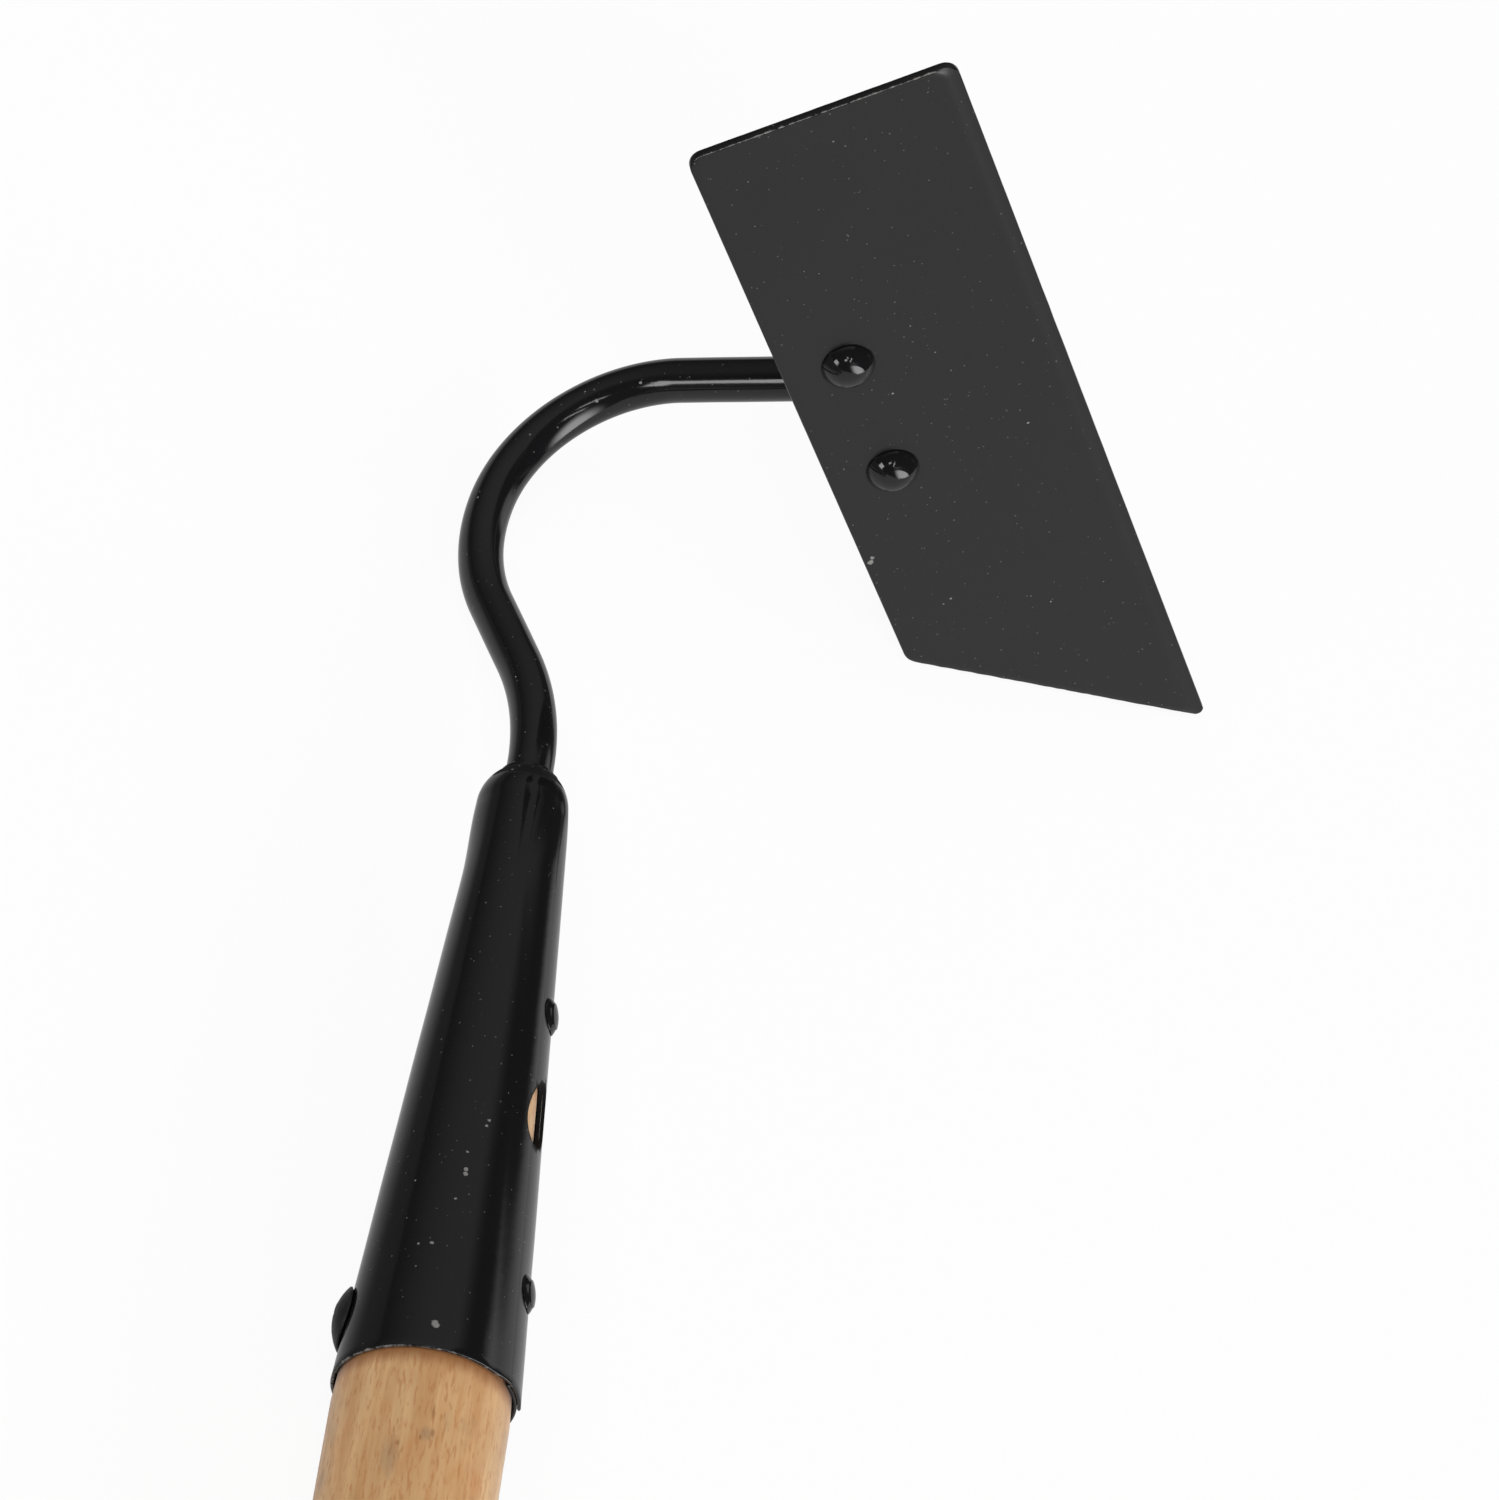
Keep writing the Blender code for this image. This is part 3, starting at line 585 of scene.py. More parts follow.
def handle_profile():
    """Return (radius, distance from the mouth) points from the butt to the tip."""
    sizes = settings().handle
    sleeve = settings().socket
    radius = sizes.diameter / 2.0
    tip = socket_length() - sizes.tip_depth
    butt = tip - sizes.length
    profile = []
    for step in range(BUTT_STEPS + 1):
        turn = math.pi / 2.0 * step / BUTT_STEPS
        profile.append((radius - sizes.butt_rounding * (1.0 - math.sin(turn)),
                        butt + sizes.butt_rounding * (1.0 - math.cos(turn))))
    slope = (sleeve.mouth_bore - sleeve.shoulder_bore) / 2.0 / sleeve.cone_length
    shoulder = (bore_radius(0.0) - sizes.clearance - radius) / slope
    rings = int((shoulder - profile[-1][1]) / HANDLE_RING)
    start = profile[-1][1]
    for step in range(1, rings + 1):
        profile.append((radius, start + (shoulder - start) * step / rings))
    end = bore_radius(tip) - sizes.clearance
    for step in range(1, CONE_RINGS + 1):
        station = shoulder + (tip - sizes.tip_chamfer - shoulder) * step / CONE_RINGS
        profile.append((bore_radius(station) - sizes.clearance, station))
    profile.append((end - sizes.tip_chamfer, tip))
    return profile


class HOE_OT_handle(bpy.types.Operator):
    """Make the beech handle, with its pilot hole and the pockets for the rivet tails"""
    bl_idname = "draw_hoe.handle"
    bl_label = "Handle"

    def execute(self, context):
        sizes = settings().fasteners
        sleeve = settings().socket
        wood = to_mesh(turned(handle_profile(), settings().handle.segments), "handle_wood", ALONG_X)
        cutters = []
        for station in (sizes.seam_lower, sizes.seam_upper):
            depth = tail_drop(station) + sizes.seam_tail_height + GAP
            spot = wall_frame(sleeve.seam_azimuth, station)
            cutters.append(hole_cutter("pocket", spot, sizes.seam_tail / 2.0 + GAP, -depth,
                                       CUT_MARGIN))
        spot = wall_frame(sizes.screw_azimuth, sizes.screw_station)
        cutters.append(hole_cutter("pilot", spot, sizes.screw_shank / 2.0 + GAP,
                                   sleeve.sheet - sizes.screw_length, CUT_MARGIN))
        place_piece("handle_wood", carved(wood, cutters), beech(), "beech", "handle")
        return {"FINISHED"}


# Socket

SHEET_STEPS = 280
LAP_STEPS = 10
SOCKET_RING = 1.5 * MM
SHOULDER_STEPS = 12
EDGE_ROUNDING = 0.16 * MM
# Where the rim's middle row and the points on a rounded edge lie, as shares
RIM_MIDDLE = 0.35
EDGE_POINTS = (0.3, 0.7)
DENT_SIZE = 16.0 * MM
DENT_DEPTH = 0.05 * MM
# Creases that run down from the shoulder: azimuth, width, depth and reach
FOLDS = (
    (math.radians(59.0), math.radians(7.0), 0.28 * MM, 27.0 * MM),
    (math.radians(17.0), math.radians(3.6), 0.10 * MM, 20.0 * MM),
    (math.radians(205.0), math.radians(8.0), 0.24 * MM, 17.0 * MM),
    (math.radians(285.0), math.radians(9.0), 0.28 * MM, 20.0 * MM),
)
FOLD_TAIL = 0.25
# Where the tip stands out fullest: azimuth, width, height and the length over which it swells
FULL_SIDE = (math.radians(158.0), math.radians(34.0), 0.75 * MM, 16.0 * MM)
# Rubbed paint at the mouth, which also serves as a painted highlight along the rim: how far it
# reaches, the side where it is strongest, and the mean and the swing
WEAR_AND_HIGHLIGHT_REACH = 0.8 * MM
WEAR_AND_HIGHLIGHT_SIDE = math.radians(125.0)
WEAR_AND_HIGHLIGHT_MEAN = 0.94
WEAR_AND_HIGHLIGHT_SWING = 0.12
# What counts as the eye's cut edge, as a share of the eye and a depth, and as the sheet's inside
EYE_MARGIN = 1.01
EYE_DEPTH = 4.0 * MM
INSIDE_SHARE = 0.3


def socket_rows():
    """Return (station, bore radius, edge rounding) rows from the mouth to the lip."""
    sizes = settings().socket
    mouth = bore_radius(0.0)
    shoulder = sizes.shoulder_bore / 2.0
    lip = settings().neck.diameter / 2.0 + GAP
    middle = EDGE_ROUNDING * RIM_MIDDLE
    rows = [(0.0, mouth, EDGE_ROUNDING), (middle, mouth, middle), (EDGE_ROUNDING, mouth, 0.0)]
    rings = int(sizes.cone_length / SOCKET_RING)
    for step in range(1, rings + 1):
        station = sizes.cone_length * step / rings
        rows.append((station, bore_radius(station), 0.0))
    sweep = sizes.shoulder_sweep
    for step in range(1, SHOULDER_STEPS + 1):
        turn = sweep * step / SHOULDER_STEPS
        reach = math.sin(turn) / math.sin(sweep)
        inward = (1.0 - math.cos(turn)) / (1.0 - math.cos(sweep))
        rows.append((sizes.cone_length + reach * sizes.shoulder_length,
                     shoulder + (lip - shoulder) * inward, 0.0))
    rows.append((socket_length(), lip, 0.0))
    return rows


def sheet_course(station, bore):
    """Return (azimuth, lift) points along the rolled sheet, from its inner to its outer edge."""
    sizes = settings().socket
    wall = bore + sizes.sheet
    left = clamped((sizes.cone_length - station) / sizes.lap_runout)
    closed = clamped((station - sizes.cone_length) / sizes.lap_closing)
    half = (sizes.lap_width * left - sizes.seam_gap * (1.0 - left)) / 2.0 / wall
    lift = (sizes.sheet + sizes.lap_clearance) * (1.0 - closed)
    strip = max(2.0 * half, sizes.seam_strip / wall)
    ramp = sizes.lap_ramp / wall
    start = sizes.seam_azimuth + half
    end = sizes.seam_azimuth - math.tau - half
    stretches = (
        (start, start - strip, 0.0, 0.0, LAP_STEPS),
        (start - strip, end + strip + ramp, 0.0, 0.0, SHEET_STEPS),
        (end + strip + ramp, end + strip, 0.0, lift, LAP_STEPS),
        (end + strip, end, lift, lift, LAP_STEPS),
    )
    course = [(start, 0.0)]
    for first, last, low, high, steps in stretches:
        for step in range(1, steps + 1):
            part = step / steps
            course.append((first + (last - first) * part, low + (high - low) * softened(part)))
    return course


def fold_depth(azimuth, station):
    """Return how far the sheet is creased in near the shoulder, less how far it stands out."""
    cone = settings().socket.cone_length
    past = clamped((station - cone) / settings().socket.shoulder_length)
    depth = 0.0
    for middle, width, deep, reach in FOLDS:
        fade = clamped((station - cone + reach) / reach)
        narrow = width * (FOLD_TAIL + (1.0 - FOLD_TAIL) * fade)
        depth += deep * math.exp(-(turned_by(azimuth, middle) / narrow) ** 2) * fade * (1.0 - past)
    middle, width, height, reach = FULL_SIDE
    swell = softened(clamped((station - cone + reach) / reach)) * (1.0 - past ** 3)
    return depth - height * math.exp(-(turned_by(azimuth, middle) / width) ** 2) * swell


def sheet_point(azimuth, radius, station):
    """Return a point of the sheet, with its slight dents and folds."""
    place = around(azimuth, radius, station)
    dent = noise.noise(place / DENT_SIZE) * DENT_DEPTH
    return around(azimuth, radius + dent - fold_depth(azimuth, station), station)


def rolled_sheet():
    """Loft the lapped sheet along its rows into one closed wall with eased edges."""
    sheet = settings().socket.sheet
    bm = bmesh.new()
    loops = []
    for station, bore, ease in socket_rows():
        course = sheet_course(station, bore)
        turn = EDGE_ROUNDING / (bore + sheet)
        (first, _low), (last, lift) = course[0], course[-1]
        inner = [sheet_point(azimuth, bore + up + ease, station) for azimuth, up in course]
        outer = [sheet_point(azimuth, bore + up + sheet - ease, station) for azimuth, up in course]
        far, near = [], []
        for part in EDGE_POINTS:
            far.append(sheet_point(last - turn, bore + lift + sheet * part, station))
            near.insert(0, sheet_point(first + turn, bore + sheet * part, station))
        loops.append(ring(bm, inner + far + outer[::-1] + near))
    skin(bm, loops)
    size = len(loops[0])
    for loop in (loops[0], loops[-1]):
        order = loop[-1:] + loop[:-1]
        for index in range(size // 2 - 1):
            bm.faces.new((order[index], order[index + 1],
                          order[size - 2 - index], order[size - 1 - index]))
    return to_mesh(bm, "socket_sheet")


def oval(length, width, segments):
    """Return an ellipse's points, its length along X."""
    angles = [math.tau * index / segments for index in range(segments)]
    return [Vector((length / 2.0 * math.cos(a), width / 2.0 * math.sin(a))) for a in angles]


def eye_frame():
    """Return the eye's placement on the socket."""
    sizes = settings().socket
    place = wall_frame(sizes.eye_azimuth, sizes.eye_station)
    return place @ Matrix.Rotation(sizes.eye_tilt, 4, "Z")


def rim_wear_and_highlight(mesh):
    """Return how pale each vertex is at the mouth's rim, as rubbed paint and a painted highlight,
    one side most.
    """
    worn_and_highlight = []
    for vert in mesh.vertices:
        turn = math.atan2(-vert.co.z, vert.co.y)
        side = WEAR_AND_HIGHLIGHT_MEAN + WEAR_AND_HIGHLIGHT_SWING * math.cos(turn - WEAR_AND_HIGHLIGHT_SIDE)
        worn_and_highlight.append((1.0 - clamped(vert.co.x / WEAR_AND_HIGHLIGHT_REACH)) * side)
    return worn_and_highlight


def unpainted(mesh):
    """Return 1 for the sheet's inside and the eye's cut edge, where hardly any paint reaches."""
    sizes = settings().socket
    eye = eye_frame().inverted()
    raw = []
    for vert in mesh.vertices:
        spot = eye @ vert.co
        size = math.hypot(spot.x / (sizes.eye_length / 2.0), spot.y / (sizes.eye_width / 2.0))
        wall = bore_radius(min(vert.co.x, sizes.cone_length)) + sizes.sheet * INSIDE_SHARE
        inside = math.hypot(vert.co.y, vert.co.z) < wall
        raw.append(1.0 if inside or (size < EYE_MARGIN and spot.z > -EYE_DEPTH) else 0.0)
    return raw


class HOE_OT_socket(bpy.types.Operator):
    """Make the rolled socket, with its lapped seam, eye, rivet holes and screw hole"""
    bl_idname = "draw_hoe.socket"
    bl_label = "Socket"

    def execute(self, context):
        sizes = settings().socket
        fasteners = settings().fasteners
        reach = 2.0 * sizes.sheet + sizes.lap_clearance + CUT_MARGIN
        sag = sizes.eye_length ** 2 / (4.0 * sizes.shoulder_bore)
        outline = oval(sizes.eye_length, sizes.eye_width, HOLE_SEGMENTS)
        cutters = [to_mesh(prism(outline, -CUT_MARGIN - sag, reach), "eye", eye_frame())]
        holes = [(sizes.seam_azimuth, station, fasteners.seam_shank)
                 for station in (fasteners.seam_lower, fasteners.seam_upper)]
        holes.append((fasteners.screw_azimuth, fasteners.screw_station, fasteners.screw_shank))
        for azimuth, station, shank in holes:
            cutters.append(hole_cutter("hole", wall_frame(azimuth, station), shank / 2.0 + GAP,
                                       -CUT_MARGIN, reach))
        mesh = carved(rolled_sheet(), cutters)
        # The mouth's rubbed rim also stands for a painted highlight along its edge
        write_attribute(mesh, "wear", rim_wear_and_highlight(mesh))
        write_attribute(mesh, "raw", unpainted(mesh))
        place_piece("socket_sheet", mesh, socket_paint(), "black_paint", "socket")
        return {"FINISHED"}


# Heads that sit on the sheet

SHANK_MARGIN = 0.15 * MM
PAINT_FILM = 0.02 * MM
RIM_SHARE = 0.25
SCREW_SEGMENTS = 96


def seat(mesh, spot, shank, height, wall):
    """Draw a head's rim down onto the sheet under it, which curves away with the wall's radius."""
    inverse = spot.inverted()
    for vert in mesh.vertices:
        place = inverse @ vert.co
        beside = math.hypot(place.x, place.y) < shank / 2.0 + SHANK_MARGIN
        if beside or place.z < -PAINT_FILM:
            continue
        curve = wall - math.sqrt(max(wall ** 2 - place.y ** 2, 0.0)) if wall else 0.0
        place.z -= (curve + GAP - PAINT_FILM) * max(1.0 - place.z / height, 0.0)
        vert.co = spot @ place


class HOE_OT_screw(bpy.types.Operator):
    """Make the truss-head screw with its cross recess"""
    bl_idname = "draw_hoe.screw"
    bl_label = "Screw"

    def execute(self, context):
        sizes = settings().fasteners
        shank = sizes.screw_shank / 2.0
        base = settings().socket.sheet + GAP
        tip = base - sizes.screw_length
        head = sizes.screw_head / 2.0
        rim = sizes.screw_head_height * RIM_SHARE
        profile = [(sizes.screw_tip / 2.0, tip), (shank, tip + sizes.screw_point), (shank, base),
                   (head - rim, base), (head, base + rim * 0.5)]
        profile += dome(head, sizes.screw_head_height - rim, base + rim)
        screw = to_mesh(turned(profile, SCREW_SEGMENTS), "cross_screw")
        crown = base + sizes.screw_head_height
        long = sizes.recess_length / 2.0
        wide = sizes.recess_width / 2.0
        cutters = []
        for x, y in ((long, wide), (wide, long)):
            corners = [Vector(corner) for corner in ((-x, -y), (x, -y), (x, y), (-x, y))]
            cutters.append(to_mesh(prism(corners, crown - sizes.recess_depth, crown + CUT_MARGIN),
                                   "recess"))
        mesh = carved(screw, cutters)
        spot = wall_frame(sizes.screw_azimuth, sizes.screw_station)
        mesh.transform(spot)
        wall = bore_radius(sizes.screw_station) + settings().socket.sheet
        seat(mesh, spot @ Matrix.Translation((0.0, 0.0, base)), sizes.screw_shank,
             sizes.screw_head_height, wall)
        place_piece("cross_screw", mesh, screw_black(), "black_screw", "handle_screw")
        return {"FINISHED"}


# Geometry trees

def new_tree(name, inputs):
    """Start a geometry tree with named inputs. Return its graph, its inputs and its output node."""
    tree = bpy.data.node_groups.new(name, "GeometryNodeTree")
    tree.interface.new_socket("Geometry", in_out="INPUT", socket_type="NodeSocketGeometry")
    for label, kind in inputs:
        tree.interface.new_socket(label, in_out="INPUT", socket_type="NodeSocket" + kind)
    tree.interface.new_socket("Geometry", in_out="OUTPUT", socket_type="NodeSocketGeometry")
    graph = Graph(tree)
    source = tree.nodes.new("NodeGroupInput")
    sink = tree.nodes.new("NodeGroupOutput")
    given = {socket.name: Value(graph, socket) for socket in source.outputs if socket.name}
    return graph, given, sink


def end_tree(graph, given, sink, geometry):
    """Close a tree: real geometry with the material."""
    real = graph.add("GeometryNodeRealizeInstances", None, {0: geometry})
    painted = graph.add("GeometryNodeSetMaterial", None,
                        {"Geometry": real, "Material": given["Material"]})
    graph.feed(sink.inputs[0], painted)


def grown(name, carrier, tree, values):
    """Run a tree on a carrier mesh. Return a plain mesh with merged seams and outward faces."""
    piece = show(name, carrier)
    modifier = piece.modifiers.new("Tree", "NODES")
    modifier.node_group = tree
    for item in tree.interface.items_tree:
        if item.in_out == "INPUT" and item.name in values:
            modifier[item.identifier] = values[item.name]
    mesh = evaluated_mesh(piece)
    bm = bmesh.new()
    bm.from_mesh(mesh)
    bmesh.ops.remove_doubles(bm, verts=bm.verts, dist=MERGE)
    return to_mesh(bm, name)


def turn_profile(graph, profile, segments):
    """Turn a profile curve, radius along X and height along Y, about Z."""
    size = graph.add("GeometryNodeAttributeDomainSize", {"component": "CURVE"}, {0: profile}, 0)
    grid = graph.add("GeometryNodeMeshGrid", None,
                     {"Vertices X": segments + 1.0, "Vertices Y": size,
                      "Size X": 1.0, "Size Y": 1.0})
    index = graph.add("GeometryNodeInputIndex")
    column = graph.math("FLOOR", (index + 0.5) / size)
    point = graph.add("GeometryNodeSampleIndex", {"data_type": "FLOAT_VECTOR", "domain": "POINT"},
                      {"Geometry": profile, "Value": graph.add("GeometryNodeInputPosition"),
                       "Index": index - column * size})
    radius, height, _depth = graph.split(point)
    turn = column / segments * math.tau
    place = graph.combine(radius * graph.math("COSINE", turn), radius * graph.math("SINE", turn),
                          height)
    moved = graph.add("GeometryNodeSetPosition", None, {"Geometry": grid, "Position": place})
    return graph.add("GeometryNodeMergeByDistance", None, {"Geometry": moved, "Distance": MERGE})


def polyline(graph, points):
    """Return curves through successive (radius, height) pairs."""
    ends = [graph.combine(x, y, 0.0) for x, y in points]
    return [graph.add("GeometryNodeCurvePrimitiveLine", None, {"Start": start, "End": end})
            for start, end in zip(ends, ends[1:])]


def joined_curve(graph, parts):
    """Join curves that meet end to end into one."""
    node = graph.tree.nodes.new("GeometryNodeJoinGeometry")
    for part in reversed(parts):
        graph.tree.links.new(part.socket, node.inputs[0])
    wires = graph.add("GeometryNodeCurveToMesh", None, {"Curve": Value(graph, node.outputs[0])})
    merged = graph.add("GeometryNodeMergeByDistance", None, {"Geometry": wires, "Distance": MERGE})
    return graph.add("GeometryNodeMeshToCurve", None, {"Mesh": merged})


def surface_noise(graph, size, seed, output=0):
    """Return noise of a given size over a surface, and with output 1 three numbers of it."""
    return graph.add("ShaderNodeTexNoise", {"noise_dimensions": "4D"},
                     {"Vector": graph.add("GeometryNodeInputPosition"), "W": seed,
                      "Scale": 1.0 / size, "Detail": 1.0}, output)


def roughened(graph, geometry, amount, size, seed):
    """Push a surface about by noise of a given size."""
    centred = graph.vector("SUBTRACT", surface_noise(graph, size, seed, 1), (0.5, 0.5, 0.5))
    offset = graph.add("ShaderNodeVectorMath", {"operation": "SCALE"},
                       {0: centred, "Scale": amount * 2.0})
    return graph.add("GeometryNodeSetPosition", None, {"Geometry": geometry, "Offset": offset})


def stood(graph, given, body):
    """Stand a body on each point of the carrier, along the point's facing."""
    facing = graph.add("GeometryNodeInputNamedAttribute", {"data_type": "FLOAT_VECTOR"},
                       {"Name": "facing"})
    turn = graph.add("FunctionNodeAlignRotationToVector", {"axis": "Z"}, {"Vector": facing})
    placed = graph.add("GeometryNodeInstanceOnPoints", None,
                       {"Points": given["Geometry"], "Instance": body, "Rotation": turn})
    return graph.add("GeometryNodeRealizeInstances", None, {0: placed})


def point_carrier(name, placement):
    """Return a mesh of one point that faces along a placement's Z axis."""
    mesh = bpy.data.meshes.new(name)
    mesh.from_pydata([placement.translation], [], [])
    layer = mesh.attributes.new("facing", "FLOAT_VECTOR", "POINT")
    layer.data[0].vector = placement.to_3x3().col[2]
    return mesh


# Rivets

# The sizes that the blade's and the seam's rivets each have
RIVET_SIZES = ("Head", "Head Height", "Shank", "Tail", "Tail Height", "Tail Crown")
RIVET_INPUTS = [(name, "Float") for name in RIVET_SIZES + ("Grip", "Unevenness", "Seed")]
RIVET_INPUTS += [("Segments", "Int"), ("Material", "Material")]
RIVET_SEGMENTS = 96
RIVET_ARC_POINTS = 20
RIVET_FILLET = 0.18 * MM
RIVET_FILLET_POINTS = 3
RIVET_NOISE = 5.0 * MM
# Height of head that has the whole unevenness
FULL_HEAD = 3.2 * MM


def rivet_tree():
    """Turn a round-head rivet and stand one on each point, along the point's facing."""
    graph, given, sink = new_tree("Rivet", RIVET_INPUTS)
    head = given["Head"] / 2.0
    height = given["Head Height"]
    sphere = (head * head + height * height) / (height * 2.0)
    half = graph.math("ARCSINE", head / sphere)
    arc = graph.add("GeometryNodeCurveArc", {"mode": "RADIUS"},
                    {"Resolution": RIVET_ARC_POINTS, "Radius": sphere,
                     "Start Angle": math.pi / 2.0 - half, "Sweep Angle": half})
    drop = graph.combine(0.0, 0.0 - sphere * graph.math("COSINE", half), 0.0)
    crown = graph.add("GeometryNodeTransform", None, {"Geometry": arc, "Translation": drop})
    shank = given["Shank"] / 2.0
    tail = given["Tail"] / 2.0
    floor = 0.0 - given["Grip"]
    bottom = floor - given["Tail Height"]
    corners = [(head, 0.0), (shank, 0.0), (shank, floor), (tail, floor),
               (tail, floor - given["Tail Height"] / 2.0), (given["Tail Crown"] / 2.0, bottom),
               (0.0, bottom)]
    profile = joined_curve(graph, [crown] + polyline(graph, corners))
    eased = graph.add("GeometryNodeFilletCurve", {"mode": "POLY"},
                      {"Curve": profile, "Count": RIVET_FILLET_POINTS, "Radius": RIVET_FILLET,
                       "Limit Radius": True})
    body = turn_profile(graph, eased, given["Segments"])
    uneven = roughened(graph, stood(graph, given, body), given["Unevenness"], RIVET_NOISE,
                       given["Seed"])
    end_tree(graph, given, sink, uneven)
    return graph.tree


def foot_back():
    """Return the depth of the foot's back face behind the blade's front face."""
    return settings().blade.thickness + GAP + settings().neck.foot_thickness


def rivet_values(kind, grip):
    """Return the sizes of the blade's or the seam's rivets and their grip."""
    sizes = settings().fasteners
    values = {name: getattr(sizes, "%s_%s" % (kind, name.lower().replace(" ", "_")))
              for name in RIVET_SIZES}
    values["Grip"] = grip
    return values


class HOE_OT_rivets(bpy.types.Operator):
    """Make the round-head rivets of the blade and of the socket's seam"""
    bl_idname = "draw_hoe.rivets"
    bl_label = "Rivets"

    def execute(self, context):
        sizes = settings().fasteners
        sleeve = settings().socket
        tree = rivet_tree()
        paint = rivet_paint()
        half = settings().blade.rivet_pitch / 2.0
        turned_over = Matrix.Rotation(math.pi, 4, "X")
        jobs = []
        for level, name in ((-half, "blade_rivet_upper"), (half, "blade_rivet_lower")):
            spot = BLADE @ Matrix.Translation((0.0, level, -GAP)) @ turned_over
            jobs.append((name, spot, 0.0, rivet_values("blade", foot_back() + 2.0 * GAP)))
        layers = 2.0 * sleeve.sheet + sleeve.lap_clearance
        for name, station in (("seam_rivet_lower", sizes.seam_lower),
                              ("seam_rivet_upper", sizes.seam_upper)):
            lift = Matrix.Translation((0.0, 0.0, layers + GAP))
            spot = wall_frame(sleeve.seam_azimuth, station) @ lift
            values = rivet_values("seam", layers + GAP + tail_drop(station))
            jobs.append((name, spot, bore_radius(station) + layers, values))
        for number, (name, spot, wall, values) in enumerate(jobs):
            height = values["Head Height"]
            values.update({"Segments": RIVET_SEGMENTS, "Material": paint,
                           "Unevenness": sizes.unevenness * height / FULL_HEAD,
                           "Seed": float(sizes.seed + number)})
            mesh = grown(name + "_turned", point_carrier(name, spot), tree, values)
            seat(mesh, spot, values["Shank"], height, wall)
            place_piece("round_" + name, mesh, paint, "black_paint", name)
        return {"FINISHED"}


# Gooseneck rod

# Straight length, then bend radius and signed bend angle, in order from the socket
NECK_BENDS = (
    (3.1 * MM, 52.5 * MM, math.radians(-27.0)),
    (15.0 * MM, 38.5 * MM, math.radians(37.0)),
    (0.0, 29.0 * MM, math.radians(88.5)),
    (30.0 * MM, 6.0 * MM, math.radians(64.5)),
)
NECK_STEP = math.radians(1.2)
NECK_RUN = 1.5 * MM
ROD_INPUTS = (("Diameter", "Float"), ("Sides", "Int"), ("Unevenness", "Float"), ("Seed", "Float"),
              ("Material", "Material"))
ROD_NOISE = 14.0 * MM
ROD_UNEVENNESS = 0.05 * MM
ROD_SEED = 3.0


def neck_course():
    """Return points along the rod's centreline, from the tang to its end."""
    sizes = settings().neck
    course = [Vector((socket_length() - sizes.tang, 0.0, 0.0))]
    facing = 0.0

    def run(distance):
        """Go straight on, with a point at each short run."""
        start = course[-1].copy()
        steps = max(1, round(distance / NECK_RUN))
        direction = Vector((math.cos(facing), math.sin(facing), 0.0))
        for step in range(1, steps + 1):
            course.append(start + direction * (distance * step / steps))

    run(sizes.tang)
    for straight, radius, bend in NECK_BENDS:
        if straight > 0.0:
            run(straight)
        side = math.copysign(radius, bend)
        centre = course[-1] + Vector((-math.sin(facing), math.cos(facing), 0.0)) * side
        steps = max(1, round(abs(bend) / NECK_STEP))
        for step in range(1, steps + 1):
            turn = facing + bend * step / steps
            course.append(centre + Vector((math.sin(turn), -math.cos(turn), 0.0)) * side)
        facing += bend
    run(sizes.end_straight)
    return course


def rod_tree():
    """Sweep a round section along the carrier's edges."""
    graph, given, sink = new_tree("Bent rod", ROD_INPUTS)
    path = graph.add("GeometryNodeMeshToCurve", None, {"Mesh": given["Geometry"]})
    section = graph.add("GeometryNodeCurvePrimitiveCircle", {"mode": "RADIUS"},
                        {"Resolution": given["Sides"], "Radius": given["Diameter"] / 2.0})
    rod = graph.add("GeometryNodeCurveToMesh", None,
                    {"Curve": path, "Profile Curve": section, "Fill Caps": True})
    uneven = roughened(graph, rod, given["Unevenness"], ROD_NOISE, given["Seed"])
    end_tree(graph, given, sink, uneven)
    return graph.tree


class HOE_OT_neck(bpy.types.Operator):
    """Sweep the gooseneck rod along its bends"""
    bl_idname = "draw_hoe.neck"
    bl_label = "Gooseneck rod"

    def execute(self, context):
        sizes = settings().neck
        course = neck_course()
        carrier = bpy.data.meshes.new("neck_course")
        carrier.from_pydata(course, [(index, index + 1) for index in range(len(course) - 1)], [])
        paint = rod_paint()
        mesh = grown("neck_swept", carrier, rod_tree(), {
            "Diameter": sizes.diameter, "Sides": sizes.sides, "Unevenness": ROD_UNEVENNESS,
            "Seed": ROD_SEED, "Material": paint})
        place_piece("gooseneck_rod", mesh, paint, "black_paint", "neck_rod")
        return {"FINISHED"}


# Weld beads

BEAD_INPUTS = [(name, "Float") for name in ("Bore", "Width", "Height", "Ripples", "Ripple Depth",
                                            "Unevenness", "Seed")]
BEAD_INPUTS += [("Segments", "Int"), ("Material", "Material")]
BEAD_SEGMENTS = 160
BEAD_ARC_POINTS = 9
BEAD_NOISE = 2.2 * MM
BEAD_UNEVENNESS = 0.5 * MM
BEAD_SEED = 11.0
RIPPLE_DEPTH = 0.12 * MM
LIP_RIPPLES = 9.0
FOOT_RIPPLES = 30.0
# How far the painted bead runs down over the shoulder
BEAD_OVERLAP = 0.3 * MM


def bead_outline(graph, bore, width, height):
    """Return a closed outline: a bulging quarter round against the rod."""
    arc = graph.add("GeometryNodeCurveArc", {"mode": "RADIUS"},
                    {"Resolution": BEAD_ARC_POINTS, "Radius": 1.0, "Start Angle": 0.0,
                     "Sweep Angle": math.pi / 2.0})
    bulge = graph.add("GeometryNodeTransform", None,
                      {"Geometry": arc, "Scale": graph.combine(width, height, 1.0),
                       "Translation": graph.combine(bore, 0.0, 0.0)})
    corners = [(bore, height), (bore, 0.0), (bore + width, 0.0)]
    return joined_curve(graph, [bulge] + polyline(graph, corners))


